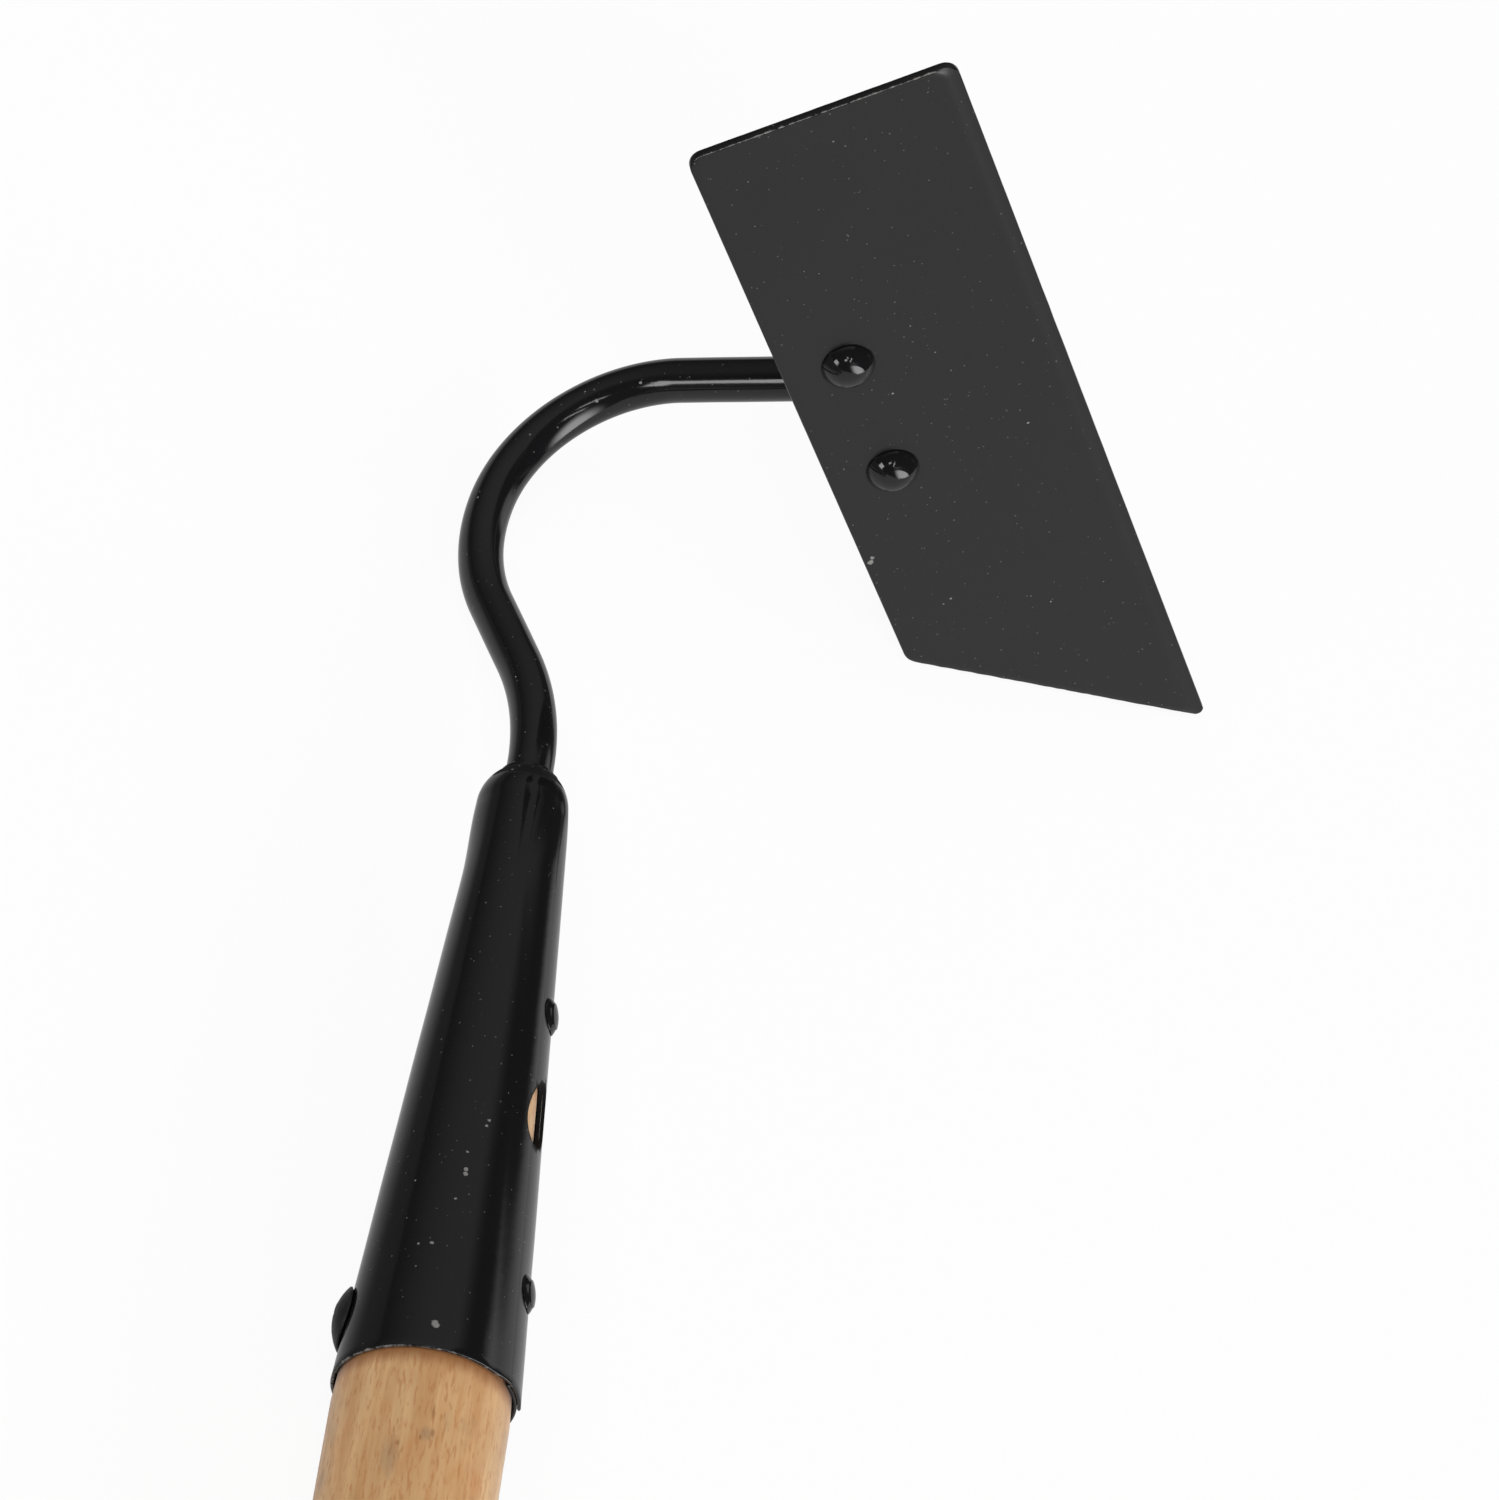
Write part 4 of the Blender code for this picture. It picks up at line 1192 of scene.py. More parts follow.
def rippled_turn(graph, outline, given):
    """Sweep a closed outline around Z, with ripples that swell its free side."""
    bore = given["Bore"]
    path = graph.add("GeometryNodeCurvePrimitiveCircle", {"mode": "RADIUS"},
                     {"Resolution": given["Segments"], "Radius": bore})
    centred = graph.add("GeometryNodeTransform", None,
                        {"Geometry": outline, "Translation": graph.combine(0.0 - bore, 0.0, 0.0)})
    swept = graph.add("GeometryNodeCurveToMesh", None, {"Curve": path, "Profile Curve": centred})
    x, y, z = graph.split(graph.add("GeometryNodeInputPosition"))
    radius = graph.math("SQRT", x * x + y * y)
    turn = graph.math("ARCTAN2", y, x)
    wave = graph.math("ABSOLUTE", graph.math("SINE", turn * given["Ripples"] / 2.0))
    field = surface_noise(graph, BEAD_NOISE, given["Seed"])
    swell = wave * given["Ripple Depth"] + (field - 0.5) * given["Unevenness"]
    ratio = (radius + (radius - bore) / given["Width"] * swell) / radius
    place = graph.combine(x * ratio, y * ratio, z + z / given["Height"] * swell)
    return graph.add("GeometryNodeSetPosition", None, {"Geometry": swept, "Position": place})


def bead_tree():
    """Turn a rippled fillet around a rod and stand it on each point."""
    graph, given, sink = new_tree("Weld bead", BEAD_INPUTS)
    outline = bead_outline(graph, given["Bore"], given["Width"], given["Height"])
    end_tree(graph, given, sink, stood(graph, given, rippled_turn(graph, outline, given)))
    return graph.tree


class HOE_OT_welds(bpy.types.Operator):
    """Make the weld beads at the socket's lip and on the foot"""
    bl_idname = "draw_hoe.welds"
    bl_label = "Weld beads"

    def execute(self, context):
        tree = bead_tree()
        paint = weld_paint()
        neck = settings().neck
        sleeve = settings().socket
        on_lip = Matrix.Translation((socket_length() - BEAD_OVERLAP, 0.0, 0.0)) @ ALONG_X
        on_foot = BLADE @ Matrix.Translation((0.0, 0.0, foot_back() + GAP))
        jobs = (("lip_bead", "socket_weld", on_lip, sleeve, LIP_RIPPLES),
                ("foot_bead", "foot_weld", on_foot, neck, FOOT_RIPPLES))
        for number, (name, node, spot, sizes, ripples) in enumerate(jobs):
            mesh = grown(name + "_turned", point_carrier(name, spot), tree, {
                "Bore": neck.diameter / 2.0 + GAP, "Width": sizes.bead_width,
                "Height": sizes.bead_height, "Ripples": ripples, "Ripple Depth": RIPPLE_DEPTH,
                "Segments": BEAD_SEGMENTS, "Unevenness": BEAD_UNEVENNESS,
                "Seed": BEAD_SEED + number, "Material": paint})
            place_piece(name, mesh, paint, "black_paint", node)
        return {"FINISHED"}


# Plates with eased edges

CORNER_STEPS = 8
EDGE_STEPS = 44
# Grain of an edge's unevenness, how much finer it is across the plate, and the inset where it ends
EDGE_GRAIN = 1.1 * MM
EDGE_STRETCH = 6.0
EASE_LIMIT = 0.5 * MM
# Least share of a corner's radius that an inset leaves
LEAST_RADIUS = 0.3
FOOT_EASE = 0.4 * MM
FOOT_ROUGHNESS = [0.05 * MM] * 4
FOOT_WEAR = [0.6] * 4
# Stray and wear of the square end, the cutting edge, the sheared slant and the neck's edge
BLADE_ROUGHNESS = [0.03 * MM, 0.05 * MM, 0.16 * MM, 0.03 * MM]
BLADE_WEAR = [1.12, 0.62, 0.74, 0.60]
CUTTING_EDGE = 1
# Insets of the levels on a plate's flat faces and on its rounded edge, in edge radii
FOOT_INNER = 3.0
BLADE_INNER = 5.0
EDGE_CORNER = 0.3
# Softening of the bevel: beyond and within its upper line, and its drop there and at the blunt edge
BEVEL_OUTER = 0.10 * MM
BEVEL_INNER = 0.15 * MM
BEVEL_DROP = 0.06 * MM
BLUNT_EDGE = 0.12 * MM


def inset_corners(corners, insets):
    """Move each edge of a polygon inwards by its own distance and return the new corners."""
    size = len(corners)
    lines = []
    for index in range(size):
        start, end = Vector(corners[index]), Vector(corners[(index + 1) % size])
        direction = (end - start).normalized()
        normal = Vector((-direction.y, direction.x))
        lines.append((start + normal * insets[index], direction))
    moved = []
    for index in range(size):
        (p, d), (q, e) = lines[index - 1], lines[index]
        cross = d.x * e.y - d.y * e.x
        step = ((q - p).x * e.y - (q - p).y * e.x) / cross
        moved.append(p + d * step)
    return moved


def plate_outline(corners, radii):
    """Return (point, edge, share) rows round a polygon: arcs at its corners, runs along its edges.

    The share goes from 0 on the edge before a corner to 1 on the edge after it.
    """
    size = len(corners)
    arcs = []
    for index, (corner, radius) in enumerate(zip(corners, radii)):
        here = Vector(corner)
        before = (Vector(corners[index - 1]) - here).normalized()
        after = (Vector(corners[(index + 1) % size]) - here).normalized()
        half = before.angle(after) / 2.0
        centre = here + (before + after).normalized() * (radius / math.sin(half))
        start = here + before * (radius / math.tan(half)) - centre
        end = here + after * (radius / math.tan(half)) - centre
        sweep = math.pi - 2.0 * half
        arc = []
        for step in range(CORNER_STEPS + 1):
            part = step / CORNER_STEPS
            blend = start * math.sin((1.0 - part) * sweep) + end * math.sin(part * sweep)
            arc.append((centre + blend / math.sin(sweep), part))
        arcs.append(arc)
    rows = []
    for index, arc in enumerate(arcs):
        rows += [(point, index, part) for point, part in arc]
        start, end = arc[-1][0], arcs[(index + 1) % size][0][0]
        for step in range(1, EDGE_STEPS):
            rows.append((start.lerp(end, step / EDGE_STEPS), index, 1.0))
    return rows


def eased_plate(name, corners, radii, levels, special, roughness, rub):
    """Stack levels of one outline into a plate.

    A level is (inset, depth, special inset, special depth, wear). The special edge has its own
    inset and depth. Roughness says how far each edge strays, and rub how much of its paint wears.
    """
    size = len(corners)
    bm = bmesh.new()
    wear_layer = bm.verts.layers.float.new("wear")
    rings = []
    for inset, depth, own_inset, own_depth, wear in levels:
        insets = [own_inset if index == special else inset for index in range(size)]
        shrunk = [max(radius - inset, radius * LEAST_RADIUS) for radius in radii]
        loop = []
        for point, index, part in plate_outline(inset_corners(corners, insets), shrunk):
            own = part if index == special else 0.0
            if (index - 1) % size == special:
                own = 1.0 - part
            level = depth + (own_depth - depth) * own
            stray = roughness[index] * part + roughness[index - 1] * (1.0 - part)
            place = Vector((point.x, point.y, level * EDGE_STRETCH)) / EDGE_GRAIN
            push = 0.0 if inset > EASE_LIMIT else noise.noise(place) * stray
            out = point + point.normalized() * push
            loop.append(bm.verts.new((out.x, out.y, level)))
            loop[-1][wear_layer] = wear * (rub[index] * part + rub[index - 1] * (1.0 - part))
        rings.append(loop)
    skin(bm, rings)
    bm.faces.new(rings[0])
    bm.faces.new(rings[-1])
    return to_mesh(bm, name)


def place_plate(name, plate, front, back, node):
    """Cut the two rivet holes through a plate and put it on the body in place of its node."""
    radius = settings().fasteners.blade_shank / 2.0 + GAP
    half = settings().blade.rivet_pitch / 2.0
    cutters = [hole_cutter("rivet_hole", Matrix.Translation((0.0, level, 0.0)), radius,
                           front - CUT_MARGIN, back + CUT_MARGIN) for level in (-half, half)]
    mesh = carved(plate, cutters)
    mesh.transform(BLADE)
    place_piece(name, mesh, plate_paint(), "black_paint", node)


class HOE_OT_foot(bpy.types.Operator):
    """Make the flat bar that the rod ends on"""
    bl_idname = "draw_hoe.foot"
    bl_label = "Foot"

    def execute(self, context):
        sizes = settings().neck
        x = sizes.foot_width / 2.0
        y = sizes.foot_length / 2.0
        front = settings().blade.thickness + GAP
        back = foot_back()
        ease = FOOT_EASE
        inner = FOOT_INNER * ease
        corner = EDGE_CORNER * ease
        levels = [(inset, depth, inset, depth, wear) for inset, depth, wear in (
            (inner, front, 0.0), (ease, front, 0.3), (corner, front + corner, 1.0),
            (0.0, front + ease, 0.5), (0.0, back - ease, 0.5), (corner, back - corner, 1.0),
            (ease, back, 0.3), (inner, back, 0.0))]
        bar = eased_plate("foot_bar", [(-x, -y), (x, -y), (x, y), (-x, y)], [sizes.foot_corner] * 4,
                          levels, None, FOOT_ROUGHNESS, FOOT_WEAR)
        place_plate("foot_bar", bar, front, back, "blade_foot")
        return {"FINISHED"}


class HOE_OT_blade(bpy.types.Operator):
    """Make the flat blade, with eased edges, a bevel on its cutting edge and its rivet holes"""
    bl_idname = "draw_hoe.blade"
    bl_label = "Blade"

    def execute(self, context):
        sizes = settings().blade
        neck_edge = -sizes.rivet_inset
        cutting = neck_edge + sizes.width
        square = -sizes.neck_offset
        corners = [(neck_edge, square), (cutting, square),
                   (cutting, square + sizes.cutting_edge), (neck_edge, square + sizes.neck_edge)]
        radii = [sizes.square_radius, sizes.square_radius, sizes.point_radius, sizes.heel_radius]
        ease = sizes.edge_radius
        inner = BLADE_INNER * ease
        corner = EDGE_CORNER * ease
        wide = sizes.bevel_width
        deep = sizes.bevel_depth
        thick = sizes.thickness
        levels = [
            (inner, 0.0, wide + inner, 0.0, 0.0),
            (ease, 0.0, wide + BEVEL_OUTER, 0.0, 0.35),
            (corner, corner, wide - BEVEL_INNER, BEVEL_DROP, 1.0),
            (0.0, ease, BLUNT_EDGE, deep - BEVEL_DROP, 0.8),
            (0.0, thick * 0.45, 0.0, deep + BEVEL_DROP, 0.45),
            (0.0, thick - ease, 0.0, thick - ease, 0.5),
            (corner, thick - corner, corner, thick - corner, 1.0),
            (ease, thick, ease, thick, 0.4),
            (inner, thick, inner, thick, 0.0),
        ]
        plate = eased_plate("blade_plate", corners, radii, levels, CUTTING_EDGE, BLADE_ROUGHNESS,
                            BLADE_WEAR)
        place_plate("blade_plate", plate, 0.0, thick, "blade")
        return {"FINISHED"}


# Materials

def new_material(name):
    """Start a material. Return it, its graph and its Principled shader."""
    material = bpy.data.materials.new(name)
    material.use_nodes = True
    return material, Graph(material.node_tree), material.node_tree.nodes["Principled BSDF"]


def hoe_coordinates(graph):
    """Return Object coordinates turned into the hoe's own axes."""
    place = graph.add("ShaderNodeTexCoord", None, None, 3)
    return graph.add("ShaderNodeMapping", {"vector_type": "TEXTURE"},
                     {"Vector": place, "Location": HOE.translation, "Rotation": HOE.to_euler()})


# Chips in the hoe's axes, in millimetres: point and radius
# On the socket, the spots at stations 118.9 to 120.8 mm, on the shoulder's top, are painted glints
# rather than chips
SOCKET_CHIPS_AND_GLINTS = (
    ((4.4, 6.1, -13.0), 0.62), ((33.6, 5.9, -11.0), 0.40), ((34.5, 5.8, -10.9), 0.34),
    ((43.8, 7.3, -9.2), 0.28), ((45.0, 7.5, -9.0), 0.24), ((37.9, 5.5, -10.8), 0.26),
    ((19.6, 3.1, -13.0), 0.30), ((19.4, 1.0, -13.3), 0.22), ((28.5, 5.2, -11.6), 0.20),
    ((32.1, -1.8, -12.4), 0.18), ((120.8, 4.4, -3.4), 0.35), ((64.0, -3.4, 9.6), 0.34),
    ((120.0, 0.8, -6.1), 0.15), ((88.0, 4.0, 8.0), 0.26), ((118.9, -0.1, -6.7), 0.22),
    ((22.0, -8.0, 10.9), 0.42),
)
BLADE_CHIPS = (
    ((192.0, 43.4, 33.8), 0.55), ((192.2, 44.0, 32.9), 0.40), ((196.5, 58.1, -3.9), 0.20),
    ((202.3, 77.2, 13.9), 0.24), ((195.1, 53.6, 49.5), 0.22), ((199.9, 69.4, 58.9), 0.18),
    ((206.6, 88.4, 97.0), 0.45), ((197.6, 55.0, -64.0), 0.30),
)
ROD_CHIPS = (
    ((207.8, 10.1, -3.1), 0.26), ((205.2, 2.0, -2.7), 0.30), ((210.7, 27.5, -3.3), 0.26),
    ((206.6, 0.1, -3.9), 0.16), ((184.3, -17.0, -4.0), 0.20), ((141.7, -3.8, -3.9), 0.18),
)
# How far a chip's outline strays and where its mask starts and is full, in its own radii
CHIP_STRAY = 1.7
CHIP_EDGE = (1.1, 0.8)
# Noise over the enamel, as number per metre, detail and roughness: ragged chips and painted glints,
# haze, rubbed paint with the painted rim highlight, waves and orange peel
CHIP_NOISE = (1500.0, 3.0)
HAZE_NOISE = (38.0, 4.0, 0.6)
RUB_AND_HIGHLIGHT_NOISE = (900.0, 3.0, 0.6)
WAVE_NOISE = (55.0, 1.0)
PEEL_NOISE = (620.0, 2.0)
# Specks of dust, large and small: number per metre, size and softness in cells
DUST = ((480.0, 0.095, 0.010), (950.0, 0.175, 0.015))
SMALL_DUST = 0.55
# Where rubbed paint starts to go and is gone, and how much its noise breaks that up. On the
# socket's rim the steel it leaves also serves as a painted highlight
RUB_AND_HIGHLIGHT_EDGE = (0.86, 1.02)
RUB_AND_HIGHLIGHT_BROKEN = 0.6
# How much paler hazy enamel is, how far haze goes, and how much rougher the enamel is with haze,
# with dust or chips, or unpainted
HAZE_TINT = 1.6
HAZE_REACH = 0.5
HAZE_ROUGH = 0.05
DUST_ROUGH = 0.3
RAW_ROUGH = 0.90
# Heights of the enamel's waves and of its orange peel
WAVE_HEIGHT = 4.0 * MM
PEEL_HEIGHT = 0.5 * MM


def chip_and_glint_mask(graph, place, spots):
    """Return a mask of ragged spots at (point, radius) places: chipped paint, and painted glints
    where a table lists them.
    """
    stray = graph.vector("SUBTRACT", graph.noise(place, *CHIP_NOISE, output=1), (0.5, 0.5, 0.5))
    mask = 0.0
    for point, size in spots:
        radius = size * MM
        torn = graph.vector("MULTIPLY_ADD", stray, (radius * CHIP_STRAY,) * 3, place)
        away = graph.vector("DISTANCE", torn, tuple(part * MM for part in point), output=1)
        edge = graph.ease(away, radius * CHIP_EDGE[0], radius * CHIP_EDGE[1])
        mask = graph.math("MAXIMUM", edge, mask)
    return mask


def enamel(name, spots=(), rubbed=0.0, orange_peel=0.02, waviness=0.03, gloss=None, dusty=1.0,
           raw=False):
    """Return gloss black enamel with dust, chipped spots and rubbed edges, and where given painted
    glints and a painted highlight along a rim.
    """
    finishes = settings().finishes
    material, graph, shader = new_material(name)
    place = hoe_coordinates(graph)
    large, small = [graph.specks(place, scale, size * dusty, softness)
                    for scale, size, softness in DUST]
    dust = graph.math("MAXIMUM", large, small * SMALL_DUST)
    haze = graph.noise(place, *HAZE_NOISE)
    hazy = tuple(part * HAZE_TINT for part in finishes.paint)
    tint = graph.mix(haze * HAZE_REACH, tuple(finishes.paint), hazy)
    tint = graph.mix(dust * finishes.dust_amount, tint, tuple(finishes.dust))
    bare_and_highlight = chip_and_glint_mask(graph, place, spots)
    # On the socket the rubbed rim is partly a painted highlight along the mouth's edge
    if rubbed > 0.0:
        wear = graph.add("ShaderNodeAttribute", {"attribute_name": "wear"}, None, 2)
        worn_and_highlight = wear * rubbed + graph.noise(place, *RUB_AND_HIGHLIGHT_NOISE) * RUB_AND_HIGHLIGHT_BROKEN
        bare_and_highlight = graph.math("MAXIMUM", graph.ease(worn_and_highlight, *RUB_AND_HIGHLIGHT_EDGE), bare_and_highlight)
    # Steel colour where the paint is chipped or rubbed; on the socket it also makes painted glints
    # and a painted highlight along the rim
    tint = graph.mix(bare_and_highlight, tint, tuple(finishes.bare_steel_and_highlight))
    clean = finishes.gloss if gloss is None else gloss
    rough = clean + haze * HAZE_ROUGH + dust * DUST_ROUGH + bare_and_highlight * DUST_ROUGH
    if raw:
        hidden = graph.add("ShaderNodeAttribute", {"attribute_name": "raw"}, None, 2)
        rough = rough + hidden * RAW_ROUGH
    graph.feed(shader.inputs["Base Color"], tint)
    graph.feed(shader.inputs["Roughness"], rough)
    slow = graph.bump(waviness, WAVE_HEIGHT, graph.noise(place, *WAVE_NOISE))
    relief = graph.noise(place, *PEEL_NOISE) + dust - bare_and_highlight
    graph.feed(shader.inputs["Normal"], graph.bump(orange_peel, PEEL_HEIGHT, relief, slow))
    return material


def plate_paint():
    """Return the enamel of the flat blade and its foot."""
    return enamel("Blade enamel", BLADE_CHIPS, rubbed=0.62, gloss=0.22)


def rod_paint():
    """Return the enamel of the gooseneck rod."""
    return enamel("Rod enamel", ROD_CHIPS, orange_peel=0.007, waviness=0.02, dusty=1.15)


def rivet_paint():
    """Return the enamel of the round-head rivets."""
    return enamel("Rivet enamel", gloss=0.05, dusty=0.5)


def weld_paint():
    """Return the thick enamel over the welds."""
    return enamel("Weld enamel", orange_peel=0.05, gloss=0.16)


def socket_paint():
    """Return the enamel of the rolled socket, with a painted highlight along the mouth's rim and
    painted glints on the shoulder's top.
    """
    return enamel("Socket enamel", SOCKET_CHIPS_AND_GLINTS, rubbed=0.61, raw=True)


# The screw's noise, where it shows rubbed paint and in what colour, its least roughness and what
# the noise adds, and its grain as noise and as a bump's strength and height
SCREW_NOISE = (700.0, 4.0, 0.65)
SCREW_RUB_EDGE = (0.55, 0.75)
SCREW_RUBBED = (0.022, 0.022, 0.023)
SCREW_ROUGHNESS = 0.32
SCREW_SWING = 0.2
SCREW_GRAIN = (1500.0, 2.0)
SCREW_BUMP = (0.08, 0.2 * MM)


def screw_black():
    """Return the satin black of the screw."""
    material, graph, shader = new_material("Satin black screw")
    place = hoe_coordinates(graph)
    finishes = settings().finishes
    rub = graph.noise(place, *SCREW_NOISE)
    tint = graph.mix(graph.ease(rub, *SCREW_RUB_EDGE), tuple(finishes.screw), SCREW_RUBBED)
    graph.feed(shader.inputs["Base Color"], tint)
    graph.feed(shader.inputs["Roughness"], rub * SCREW_SWING + SCREW_ROUGHNESS)
    grain = graph.bump(*SCREW_BUMP, graph.noise(place, *SCREW_GRAIN))
    graph.feed(shader.inputs["Normal"], grain)
    return material


# Growth rings of the beech: the pith's place across and up, their spacing, the noise that sways
# them, how far it does across and what share of that up, where a ring is light and where dark, and
# how strong they are
PITH = (0.046, -0.030)
RING_PITCH = 0.0031
RING_NOISE = (3.0, 14.0, 3.0)
RING_SWAY = 0.004
RING_SWAY_UP = 0.6
RING_EDGE = (-0.8, 1.0)
RING_STRENGTH = 0.12
# Broad bands of deep wood: stretch along and across, detail and roughness, edges, strength
BROAD = ((14.0, 230.0, 2.0, 0.55), (0.36, 0.64), 0.74)
# Layers on them: stretch along and across, detail and roughness, edges, strength, colour and
# brightness
WOOD_LAYERS = {
    "patches": ((110.0, 330.0, 3.0, 0.6), (0.50, 0.68), 0.70, "wood_warm", 1.0),
    "fibre": ((70.0, 1700.0, 3.0, 0.6), (0.40, 0.75), 0.34, "wood_deep", 1.0),
    "light": ((60.0, 620.0, 3.0, 0.5), (0.50, 0.70), 0.45, "wood_pale", 1.16),
    "rays": ((400.0, 2000.0, 2.0, 0.5), (0.53, 0.67), 0.54, "wood_fleck", 1.0),
    "pores": ((260.0, 1700.0, 1.0, 0.5), (0.76, 0.84), 0.42, "wood_fleck", 0.60),
    "smudges": ((120.0, 190.0, 4.0, 0.5), (0.57, 0.72), 0.20, "grime", 1.0),
}
# Marks in the hoe's axes, in millimetres: colour, strength, and each mark's point, half length and
# half width
WOOD_MARKS = (
    ("wood_warm", 0.42, (
        ((-10.7, 0.6, -14.0), 2.6, 1.2), ((0.1, 12.6, -5.5), 5.0, 0.9),
        ((-19.0, 5.2, -13.0), 4.0, 1.0), ((-9.0, 10.6, -9.2), 5.0, 0.6),
        ((-16.0, -6.5, -12.4), 4.0, 0.8))),
    ("grime", 0.34, (
        ((-19.3, 2.7, -13.7), 4.2, 1.5), ((-14.8, 7.2, -12.0), 1.3, 1.3),
        ((-20.8, -10.0, -9.8), 2.6, 1.6), ((-300.0, 6.0, 12.6), 30.0, 4.0),
        ((-760.0, -9.0, -10.7), 45.0, 5.0))),
    ("stain_and_rim_shade", 0.62, (
        ((-10.7, 7.6, -11.7), 1.7, 0.30), ((-14.4, 7.9, -11.5), 0.8, 0.35),
        ((-15.6, 6.4, -12.4), 0.6, 0.30), ((-17.0, 3.4, -13.6), 0.6, 0.45))),
)
MARK_RAGGED = 1.4
MARK_EDGE = (1.30, 0.20)
# Painted shade on the wood just below the socket's rim: stations where it starts and is full, where
# the sheet hides it again, the noise that its edge wanders by and how far, and its strength
RIM_SHADE_EDGE = (-0.0034, -0.0002)
RIM_SHADE_HIDDEN = (0.014, 0.004)
RIM_SHADE_NOISE = (60.0, 500.0, 2.0)
RIM_SHADE_WANDER = 0.002
RIM_SHADE_STRENGTH = 0.85
# The wood's roughness and what fibre and rays add to it, how far fibre stands out and rays and
# pores lie in, its bump's strength and height, and its sheen's weight and roughness
WOOD_ROUGHNESS = 0.50
FIBRE_ROUGH = 0.18
RAY_ROUGH = 0.05
FIBRE_HEIGHT = 0.7
RAY_DEPTH = 0.5
PORE_DEPTH = 0.4
WOOD_BUMP = (0.14, 0.25 * MM)
WOOD_SHEEN = (0.32, 0.4)


def marks(graph, place, spots, grain):
    """Return a mask of soft marks that are drawn out along the grain."""
    mask = 0.0
    for point, long, short in spots:
        offset = graph.vector("SUBTRACT", place, tuple(part * MM for part in point))
        sizes = (1.0 / (long * MM), 1.0 / (short * MM), 1.0 / (short * MM))
        away = graph.vector("LENGTH", graph.vector("MULTIPLY", offset, sizes), output=1)
        edge = graph.ease(away + (grain - 0.5) * MARK_RAGGED, *MARK_EDGE)
        mask = graph.math("MAXIMUM", edge, mask)
    return mask


def beech():
    """Return unfinished beech: faint growth rings about an offset pith, short reddish rays, grime
    and painted shade at the rim.
    """
    finishes = settings().finishes
    material, graph, shader = new_material("Beech")
    place = hoe_coordinates(graph)
    along, across, up = graph.split(place)

    def grain(lengthwise, crosswise, detail, roughness=0.5):
        """Return noise that is stretched along the wood."""
        stretched = graph.combine(along * lengthwise, across * crosswise, up * crosswise)
        return graph.noise(stretched, 1.0, detail, roughness)

    sway = (grain(*RING_NOISE) - 0.5) * RING_SWAY
    y = across + PITH[0] + sway
    z = up + PITH[1] + sway * RING_SWAY_UP
    radius = graph.math("SQRT", y * y + z * z)
    rings = graph.ease(graph.math("SINE", radius * (math.tau / RING_PITCH)), *RING_EDGE)
    texture, edges, strength = BROAD
    bands = rings * RING_STRENGTH + graph.ease(grain(*texture), *edges) * strength
    tint = graph.mix(bands, tuple(finishes.wood_pale), tuple(finishes.wood_deep))
    fields, masks = {}, {}
    for name, (texture, edges, strength, shade, brightness) in WOOD_LAYERS.items():
        fields[name] = grain(*texture)
        masks[name] = graph.ease(fields[name], *edges)
        shade = tuple(min(part * brightness, 1.0) for part in getattr(finishes, shade))
        tint = graph.mix(masks[name] * strength, tint, shade)
    fibre, rays, pores = fields["fibre"], masks["rays"], masks["pores"]
    for shade, strength, spots in WOOD_MARKS:
        tint = graph.mix(marks(graph, place, spots, fibre) * strength, tint,
                         tuple(getattr(finishes, shade)))
    # Painted shade: the wood darkens to a deep orange-brown towards the socket's rim, where the
    # sheet shades it
    wander = (grain(*RIM_SHADE_NOISE) - 0.5) * RIM_SHADE_WANDER
    rim_shade = graph.ease(along + wander, *RIM_SHADE_EDGE) * graph.ease(along, *RIM_SHADE_HIDDEN)
    tint = graph.mix(rim_shade * RIM_SHADE_STRENGTH, tint, tuple(finishes.stain_and_rim_shade))
    graph.feed(shader.inputs["Base Color"], tint)
    rough = WOOD_ROUGHNESS + fibre * FIBRE_ROUGH + rays * RAY_ROUGH
    graph.feed(shader.inputs["Roughness"], rough)
    relief = fibre * FIBRE_HEIGHT - rays * RAY_DEPTH - pores * PORE_DEPTH
    graph.feed(shader.inputs["Normal"], graph.bump(*WOOD_BUMP, relief))
    for part, value in zip(("Weight", "Roughness"), WOOD_SHEEN):
        shader.inputs["Sheen " + part].default_value = value
    return material


# Stage

CAMERA_PLACE = Vector((-445.2, 316.0, -673.1)) * MM
CAMERA_FORWARD = Vector((0.6154, -0.2998, 0.7290))
CAMERA_RIGHT = Vector((0.1088, 0.9483, 0.2981))
SENSOR_WIDTH = 36.0
NEAR_CLIP = 0.01
# Softboxes: name, azimuth and elevation in degrees, distance, width, height, watts, and whether
# gloss shows them
LAMPS = (
    ("low_softbox", 131.0, 6.0, 1.20, 0.42, 0.35, 3.0, True),
    ("strip_left", 151.0, 46.0, 1.30, 0.10, 0.42, 0.75, True),
    ("strip_right", 176.0, 52.0, 1.30, 0.10, 0.42, 0.75, True),
    ("overhead", 105.0, 62.0, 1.90, 1.50, 1.50, 20.0, False),
    ("side_fill", -70.0, 34.0, 1.90, 1.20, 1.20, 12.0, False),
    ("left_fill", -170.0, 24.0, 1.90, 1.20, 1.20, 4.0, False),
)
LAMP_AIM = Vector((0.60, 0.0, 0.08))
# Brightness of the surround: shaded studio, ceiling ahead, wall at the side, the large soft window
SHADE = 0.03
CEILING = 0.30
SIDE_WALL = 0.80
WINDOW = 6.2
# Azimuths, in radians, over which the ceiling and the wall rise and fall
CEILING_SIDES = (-0.62, -0.20, 1.50, 2.05)
WALL_SIDES = (-1.34, -1.08, -0.90, -0.78)
# Heights on a unit sphere over which the ceiling grows brighter and the wall ends
CEILING_RISE = (-0.10, 0.95)
WALL_TOP = (0.58, 0.48)
